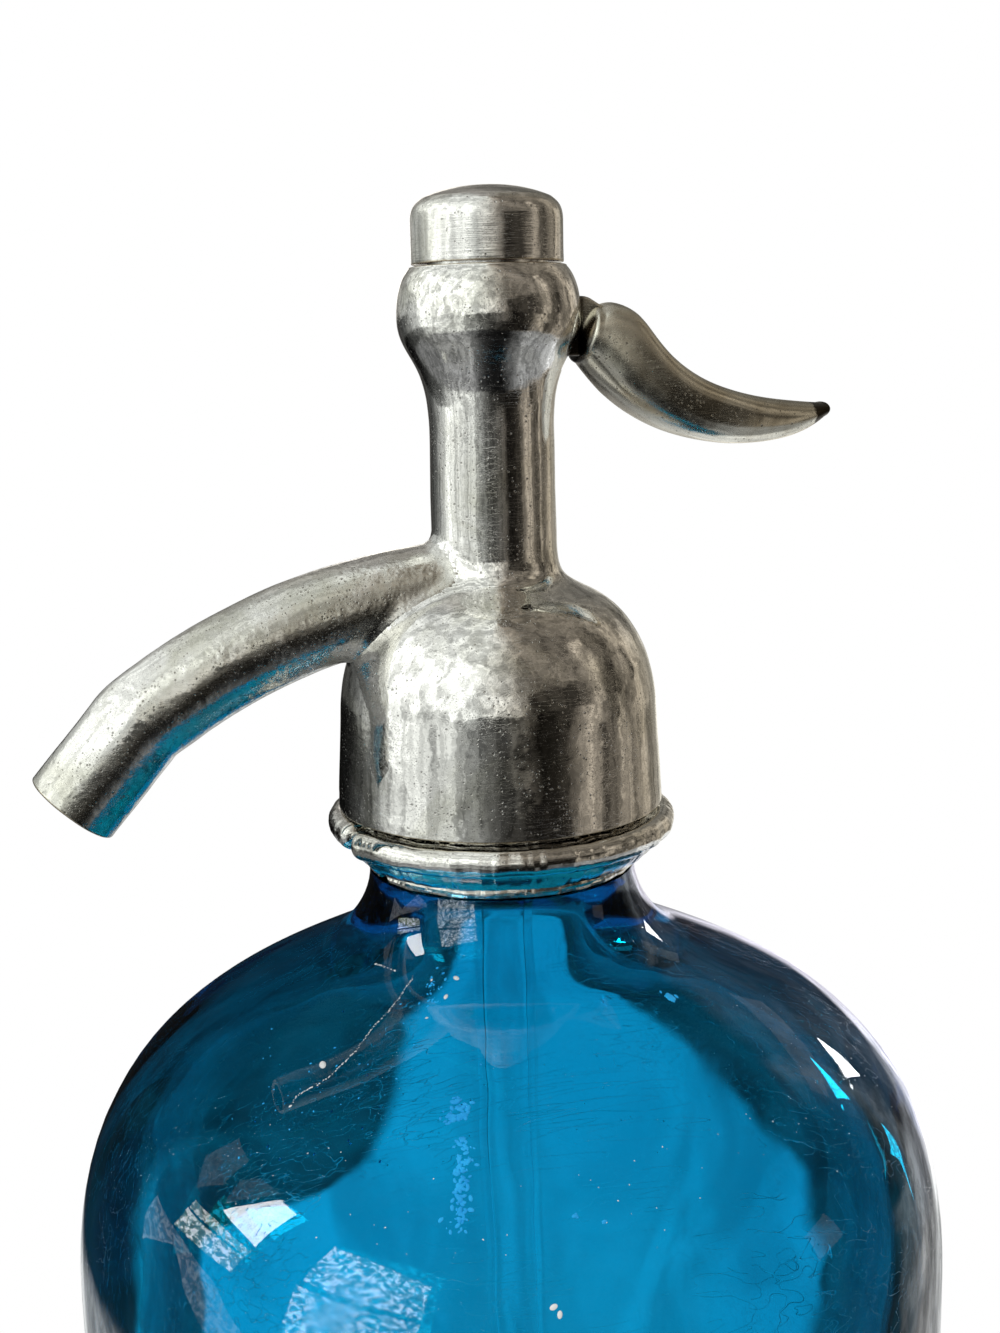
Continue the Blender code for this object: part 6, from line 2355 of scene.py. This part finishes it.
    def build(self) -> None:
        """Set up the camera, the world, the floor, the lamps and what the metal and the glass reflect."""
        glass = ("glass_bottle_shell", "dip_tube_glass")
        pieces = [piece for piece in bpy.context.scene.objects if piece.type == "MESH"]
        seen_by_glass = self._receivers("seen_by_glass", [p for p in pieces if p.name in glass])
        seen_by_metal = self._receivers("seen_by_metal", [p for p in pieces if p.name not in glass])
        self._camera()
        self._world()
        self._floor()
        self._lamps()
        self._room(
            "metal_room", self.shell_radius, self.metal_zones, self.metal_tints, seen_by_metal,
            patchy=0.62, contrast=1.35, clear=True,
        )
        self._room(
            "glass_room", self.shell_radius + self.shell_gap, self.glass_zones, self.glass_tints,
            seen_by_glass, patchy=0.75,
        )
        self._dusk()
        self._rear_card()
        for pane in self.panes:
            self._pane("window_pane", pane, seen_by_glass)
        for pane in self.glints:
            self._pane("glint_behind", pane, None)
        bpy.context.scene.view_settings.view_transform = "Standard"

    @staticmethod
    def _receivers(name: str, pieces: list[bpy.types.Object]) -> bpy.types.Collection:
        """A list of the pieces that a part of the room shows on.

        Args:
            name: The list's name.
            pieces: The pieces.

        Returns:
            The list.
        """
        group = bpy.data.collections.new(name)
        for piece in pieces:
            group.objects.link(piece)
        return group

    def _camera(self) -> None:
        """Place the camera at the photograph's viewpoint."""
        lens = bpy.data.cameras.new("photo_camera")
        lens.sensor_fit = "VERTICAL"
        lens.sensor_height = self.sensor
        lens.lens = self.focal_pixels / self.image_height * self.sensor
        lens.shift_x = self.centre_shift_pixels / self.image_height
        lens.clip_start = 1 * MM
        camera = bpy.data.objects.new("photo_camera", lens)
        side = Vector((math.cos(self.azimuth), math.sin(self.azimuth), 0.0))
        level = math.cos(self.pitch)
        back = Vector((math.sin(self.azimuth) * level, -math.cos(self.azimuth) * level, math.sin(self.pitch)))
        up = back.cross(side)
        right = side * math.cos(self.roll) - up * math.sin(self.roll)
        top = side * math.sin(self.roll) + up * math.cos(self.roll)
        facing = Matrix((right, top, back)).transposed().to_4x4()
        camera.matrix_world = Matrix.Translation(self.camera_place) @ facing
        bpy.context.scene.collection.objects.link(camera)
        bpy.context.scene.camera = camera

    def _world(self) -> None:
        """Even light all round, seen as plain white by the camera, by metal and through glass."""
        world = bpy.data.worlds.new("studio_world")
        world.use_nodes = True
        kit = ShaderKit(world.node_tree)
        world.node_tree.nodes.clear()
        path = kit.node("ShaderNodeLightPath").outputs
        seen = kit.math("ADD", path["Is Camera Ray"], path["Is Glossy Ray"])
        seen = kit.math("ADD", seen, path["Is Transmission Ray"], clamp=True)
        light = kit.node("ShaderNodeBackground")
        light.inputs["Color"].default_value = (1.0, 1.0, 1.0, 1.0)
        light.inputs["Strength"].default_value = self.ambient
        white = kit.node("ShaderNodeBackground")
        white.inputs["Color"].default_value = (1.0, 1.0, 1.0, 1.0)
        white.inputs["Strength"].default_value = 1.0
        both = kit.node("ShaderNodeMixShader")
        kit.feed(both.inputs[0], seen)
        kit.feed(both.inputs[1], light.outputs[0])
        kit.feed(both.inputs[2], white.outputs[0])
        kit.feed(kit.node("ShaderNodeOutputWorld").inputs["Surface"], both.outputs[0])
        bpy.context.scene.world = world

    def _floor(self) -> None:
        """A pale round floor that fades into the white surroundings."""
        mesh = bpy.data.meshes.new("studio_floor")
        shape = bmesh.new()
        bmesh.ops.create_circle(shape, cap_ends=True, radius=self.floor_radius, segments=96)
        shape.to_mesh(mesh)
        shape.free()
        floor = bpy.data.objects.new("studio_floor", mesh)
        floor.location.z = -0.2 * MM
        bpy.context.scene.collection.objects.link(floor)
        finish, kit, shader, place = start_finish("pale_floor")
        shader.inputs["Base Color"].default_value = (0.93, 0.93, 0.93, 1.0)
        shader.inputs["Roughness"].default_value = 0.9
        reach = kit.node("ShaderNodeVectorMath", operation="LENGTH")
        kit.feed(reach.inputs[0], place)
        path = kit.node("ShaderNodeLightPath").outputs
        seen = kit.math("ADD", path["Is Camera Ray"], path["Is Transmission Ray"], clamp=True)
        faded = kit.ramp(reach.outputs["Value"], self.floor_fade[0], self.floor_fade[1])
        kit.feed(shader.inputs["Alpha"], kit.math("SUBTRACT", 1.0, kit.math("MULTIPLY", faded, seen)))
        mesh.materials.append(finish)
        floor.visible_glossy = False

    @staticmethod
    def _lamp(
        name: str, place: Point, aim: Point, size: tuple[float, float], radiance: float, colour: Colour,
    ) -> None:
        """Add one soft rectangular lamp.

        Args:
            name: The lamp's name.
            place: Where it stands.
            aim: What it faces.
            size: Its width and height.
            radiance: How bright its face is.
            colour: Its colour.
        """
        light = bpy.data.lights.new(name, "AREA")
        light.shape = "RECTANGLE"
        light.size, light.size_y = size
        light.energy = radiance * math.pi * size[0] * size[1]
        light.color = colour
        lamp = bpy.data.objects.new(name, light)
        heading = Vector(aim) - Vector(place)
        facing = heading.to_track_quat("-Z", "Y").to_matrix().to_4x4()
        lamp.matrix_world = Matrix.Translation(place) @ facing
        bpy.context.scene.collection.objects.link(lamp)
        lamp.visible_glossy = False
        lamp.visible_transmission = False

    def _lamps(self) -> None:
        """A large soft key on the left, a weak fill on the right and a soft top light."""
        aim = (0.0, 0.0, 0.2)
        self._lamp("key_light", (-0.62, -0.42, 0.62), aim, (0.5, 0.5), 3.4, (1.0, 0.99, 0.97))
        self._lamp("side_light", (0.66, -0.30, 0.42), aim, (0.16, 0.40), 1.6, (1.0, 0.97, 0.92))
        self._lamp("top_light", (0.05, 0.15, 0.95), aim, (0.5, 0.5), 0.8, (1.0, 1.0, 1.0))

    @staticmethod
    def _glow(name: str, clear: bool = False) -> tuple[Material, ShaderKit, Node, Socket]:
        """Start a glowing material, see-through or not.

        Args:
            name: The material's name.
            clear: True if what stands behind it shows through.

        Returns:
            The material, its wiring kit, its emission and its object coordinates.
        """
        finish = bpy.data.materials.new(name)
        finish.use_nodes = True
        finish.node_tree.nodes.clear()
        finish.cycles.emission_sampling = "NONE"
        kit = ShaderKit(finish.node_tree)
        glow = kit.node("ShaderNodeEmission")
        light = glow.outputs[0]
        if clear:
            both = kit.node("ShaderNodeAddShader")
            kit.feed(both.inputs[0], light)
            kit.feed(both.inputs[1], kit.node("ShaderNodeBsdfTransparent").outputs[0])
            light = both.outputs[0]
        kit.feed(kit.node("ShaderNodeOutputMaterial").inputs["Surface"], light)
        return finish, kit, glow, kit.node("ShaderNodeTexCoord").outputs["Object"]

    @staticmethod
    def _backdrop(
        name: str, shape: bmesh.types.BMesh, finish: Material, *, glossy: bool, through: bool,
        seen_by: bpy.types.Collection | None = None,
    ) -> None:
        """Stand a backdrop that shows as a reflection or through the glass, on some pieces or on all.

        Args:
            name: The backdrop's name.
            shape: Its mesh, which is used up.
            finish: Its material.
            glossy: True if it is reflected.
            through: True if it shows through the glass.
            seen_by: The pieces that it shows on, or None for all of them.
        """
        mesh = bpy.data.meshes.new(name)
        shape.to_mesh(mesh)
        shape.free()
        mesh.materials.append(finish)
        piece = bpy.data.objects.new(name, mesh)
        bpy.context.scene.collection.objects.link(piece)
        piece.visible_camera = False
        piece.visible_shadow = False
        piece.visible_diffuse = False
        piece.visible_volume_scatter = False
        piece.visible_glossy = glossy
        piece.visible_transmission = through
        if seen_by:
            piece.light_linking.receiver_collection = seen_by

    @staticmethod
    def _card(turn: float, distance: float, middle: float, width: float, height: float) -> bmesh.types.BMesh:
        """An upright card that faces the siphon from an angle round it.

        Args:
            turn: Degrees round the siphon.
            distance: Distance from its axis.
            middle: Height of its middle.
            width: Its width.
            height: Its height.

        Returns:
            The card.
        """
        shape = bmesh.new()
        bmesh.ops.create_grid(shape, x_segments=1, y_segments=1, size=0.5)
        angle = math.radians(turn)
        place = Matrix.Translation((distance * math.sin(angle), -distance * math.cos(angle), middle))
        place = place @ Matrix.Rotation(angle, 4, "Z") @ Matrix.Rotation(math.pi / 2, 4, "X")
        place = place @ Matrix.Diagonal((width, height, 1.0, 1.0))
        bmesh.ops.transform(shape, matrix=place, verts=shape.verts)
        return shape

    @staticmethod
    def _round_stops(stops: tuple | list) -> tuple:
        """Put (degrees, colour) stops at their shares of the whole turn."""
        return tuple((at / 360 + 0.5, colour) for at, colour in stops)

    def _room(
        self, name: str, radius: float, zones: tuple, tints: tuple, seen_by: bpy.types.Collection, *,
        patchy: float, contrast: float = 1.0, clear: bool = False,
    ) -> None:
        """Stand a round room whose tones change with the turn and, from zone to zone, with the height.

        Args:
            name: The room's name.
            radius: Its radius.
            zones: Its zones, lowest first.
            tints: The (degrees, colour) stops that tint the tones.
            seen_by: The pieces that the room shows on.
            patchy: How dark its darkest patches are, as a share of the tone.
            contrast: The power that the tones are raised to.
            clear: True if the rooms behind it show through.
        """
        shape = bmesh.new()
        bmesh.ops.create_uvsphere(shape, u_segments=96, v_segments=48, radius=radius)
        bmesh.ops.translate(shape, verts=shape.verts, vec=(0.0, 0.0, self.shell_height))
        finish, kit, glow, place = self._glow(name, clear=clear)
        centred = kit.mapped(place, shift=(0.0, 0.0, -self.shell_height))
        height = kit.math("DIVIDE", kit.parts(centred)["Z"], radius)
        rise = kit.math("ADD", height, kit.wander(centred, 3.2, 0.10))
        stray = kit.wander(kit.mapped(centred, (1.0, 1.0, 1.6)), 5.0, 0.025)
        share = kit.math("ADD", kit.share_of_turn(centred), stray)
        level: object = None
        for edge, soft, stops in zones:
            tones = kit.bands(share, self._round_stops([(at, (tone,) * 3) for at, tone in stops]))
            if level is None:
                level = tones
            else:
                level = kit.mixed(kit.ramp(rise, edge - soft, edge + soft), level, tones)
        tint = kit.bands(share, self._round_stops(tints))
        tint = kit.mixed(kit.ramp(rise, -0.45, -0.36), (0.98, 1.0, 1.0), tint)
        if contrast != 1.0:
            level = kit.math("MULTIPLY", kit.math("POWER", level, contrast), self.metal_gain)
        broad = kit.noise(kit.mapped(centred, (1.0, 1.0, 0.6)), 6.5, 5.0, 0.62)
        broad = kit.ramp(broad, 0.42, 0.54, patchy, 1.2)
        small = kit.noise(kit.mapped(centred, (1.0, 1.0, 0.8)), 17.0, 3.0, 0.6)
        small = kit.ramp(small, 0.45, 0.54, 0.5 + patchy / 2, 1.15)
        kit.feed(glow.inputs["Color"], tint)
        kit.feed(glow.inputs["Strength"], kit.math("MULTIPLY", level, kit.math("MULTIPLY", broad, small)))
        self._backdrop(name, shape, finish, glossy=True, through=False, seen_by=seen_by)

    def _dusk(self) -> None:
        """The dim room that shows at the glass's edges, beside the rear folds."""
        shape = bmesh.new()
        radius = self.shell_radius - self.shell_gap
        bmesh.ops.create_uvsphere(shape, u_segments=64, v_segments=32, radius=radius)
        bmesh.ops.translate(shape, verts=shape.verts, vec=(0.0, 0.0, self.shell_height))
        finish, kit, glow, place = self._glow("dusk_tones")
        tones = kit.bands(kit.share_of_turn(place), self._round_stops(self.dusk_tones))
        kit.feed(glow.inputs["Color"], tones)
        kit.feed(glow.inputs["Strength"], kit.ramp(kit.noise(place, 5.0, 4.0, 0.62), 0.36, 0.66, 0.45, 1.5))
        self._backdrop("dusk_shell", shape, finish, glossy=False, through=True)

    def _rear_card(self) -> None:
        """The pale folds between darker sides that show through the glass from the photograph's side."""
        turn = math.degrees(self.azimuth) + 180
        shape = self._card(turn, self.card_distance, self.card_middle, *self.card_size)
        finish, kit, glow, place = self._glow("rear_folds")
        across = kit.node("ShaderNodeVectorMath", operation="DOT_PRODUCT")
        kit.feed(across.inputs[0], place)
        across.inputs[1].default_value = (math.cos(self.azimuth), math.sin(self.azimuth), 0.0)
        height = kit.parts(place)["Z"]
        warp = kit.wander(place, 38.0, self.folds_warp, 0.55)
        side = kit.math("ADD", across.outputs["Value"], warp)
        drop = kit.math("DIVIDE", kit.math("SUBTRACT", self.folds_top, height), self.folds_drop)
        reaches = []
        for stops in (self.folds_left, self.folds_right):
            edge = kit.bands(drop, tuple((at, (reach,) * 3) for at, reach in stops))
            reaches.append(kit.math("MULTIPLY", edge, self.folds_reach))
        left = kit.math("ADD", side, reaches[0])
        right = kit.math("SUBTRACT", reaches[1], side)
        inside = kit.math("MULTIPLY", kit.ramp(left, -2 * MM, 4 * MM), kit.ramp(right, -2 * MM, 4 * MM))
        folds = kit.noise(kit.mapped(place, (1.0, 1.0, 0.35), (0.0, -0.5, 0.0)), 44.0, 3.0, 0.5, 0.8)
        pale = kit.mixed(kit.ramp(folds, 0.34, 0.60), *self.folds_pale)
        dim = kit.mixed(kit.ramp(kit.noise(place, 30.0, 3.0, 0.6), 0.35, 0.7), *self.folds_dim)
        kit.feed(glow.inputs["Color"], kit.mixed(inside, dim, pale))
        kit.feed(glow.inputs["Strength"], kit.ramp(across.outputs["Value"], -45 * MM, -5 * MM, 1.2, 1.0))
        self._backdrop("rear_card", shape, finish, glossy=False, through=True)

    def _pane(self, name: str, pane: Pane, seen_by: bpy.types.Collection | None) -> None:
        """Stand one bright piece of the room.

        Args:
            name: The piece's name.
            pane: Its corners and light.
            seen_by: The pieces that it shows on, or None to show through the glass alone.
        """
        shape = bmesh.new()
        corners = []
        for turn, height in pane.corners:
            angle = math.radians(turn)
            reach = self.pane_distance
            corners.append(shape.verts.new((reach * math.sin(angle), -reach * math.cos(angle), height)))
        shape.faces.new(corners)
        finish, kit, glow, place = self._glow(name, clear=True)
        leaves = kit.ramp(kit.noise(place, 42.0, 5.0, 0.7), 0.45, 0.58)
        kit.feed(glow.inputs["Color"], kit.mixed(leaves, pane.tint, (1.0, 1.0, 1.0)))
        least = pane.radiance * (1 - pane.leaves)
        kit.feed(glow.inputs["Strength"], kit.ramp(leaves, 0.0, 1.0, least, pane.radiance))
        self._backdrop(name, shape, finish, glossy=seen_by is not None, through=True, seen_by=seen_by)


@dataclass
class Finishes:
    """Every finish of the siphon, made once."""

    blue_glass: Material = field(default_factory=lambda: GlassFinish("thick_blue_glass").make())
    tube_glass: Material = field(
        default_factory=lambda: GlassFinish(
            "clear_tube_glass", clear=(0.75, 0.9, 0.92), density=60.0, ior=1.022, haze=0.0,
        ).make()
    )
    head: Material = field(default_factory=lambda: PlatingFinish("head_plating").make())
    spout: Material = field(
        default_factory=lambda: PlatingFinish(
            "spout_plating", roughness=0.10, haze=0.12, pit_share=0.4, grain_depth=0.05 * MM,
            grain_scale=1150.0, thin_level=0.5,
        ).make()
    )
    cap: Material = field(
        default_factory=lambda: PlatingFinish(
            "cap_plating", roughness=0.06, pit_share=0.16, ring_lines=0.03 * MM,
        ).make()
    )
    collar: Material = field(
        default_factory=lambda: PlatingFinish(
            "collar_plating", plate=(0.90, 0.89, 0.86), roughness=0.04, pit_share=0.22, wear_amount=0.5,
        ).make()
    )
    lever: Material = field(
        default_factory=lambda: PlatingFinish(
            "lever_metal", plate=(0.95, 0.93, 0.83), thin=(0.66, 0.61, 0.50), edge=(0.80, 0.78, 0.74),
            roughness=0.16, haze=0.14, pit_share=0.22, thin_level=0.5, wear_amount=0.42,
            # The tip darkens past 41.5 mm; short of 10.9 mm the neck takes painted shade.
            dark_from=41.5 * MM, neck_shade_to=10.9 * MM,
        ).make()
    )
    lime: Material = field(
        default_factory=lambda: MattFinish("dry_lime", (0.86, 0.87, 0.86), (0.70, 0.72, 0.72)).make()
    )
    film: Material = field(
        default_factory=lambda: MattFinish("bluish_film", (0.01, 0.44, 0.92), (0.01, 0.30, 0.74)).make()
    )
    brass: Material = field(
        default_factory=lambda: TurnedFinish("turned_brass", (0.72, 0.54, 0.26), (0.45, 0.30, 0.13)).make()
    )
    steel: Material = field(
        default_factory=lambda: TurnedFinish("drawn_steel", (0.55, 0.55, 0.56), (0.33, 0.29, 0.25)).make()
    )
    black_rubber: Material = field(
        default_factory=lambda: MattFinish(
            "black_seal_rubber", (0.025, 0.025, 0.025), (0.09, 0.09, 0.085),
        ).make()
    )
    red_rubber: Material = field(
        default_factory=lambda: MattFinish("red_seal_rubber", (0.34, 0.07, 0.045), (0.42, 0.18, 0.13)).make()
    )


def main() -> None:
    """Build the siphon's pieces in order and set up the studio."""
    logging.basicConfig(level=logging.INFO, format="%(name)s: %(message)s")
    finishes = Finishes()
    GlassBottle().build(finishes.blue_glass, finishes.tube_glass)
    GlassMarks().build(finishes.lime, finishes.film)
    SplitCollar().build(finishes.collar)
    HeadCasting().build(finishes.head)
    Spout().build(finishes.spout)
    Cap().build(finishes.cap, finishes.steel)
    Lever().build(finishes.lever, finishes.steel)
    Valve().dress(finishes.brass, finishes.steel, finishes.black_rubber, finishes.red_rubber)
    Studio().build()


if __name__ == "__main__":
    main()
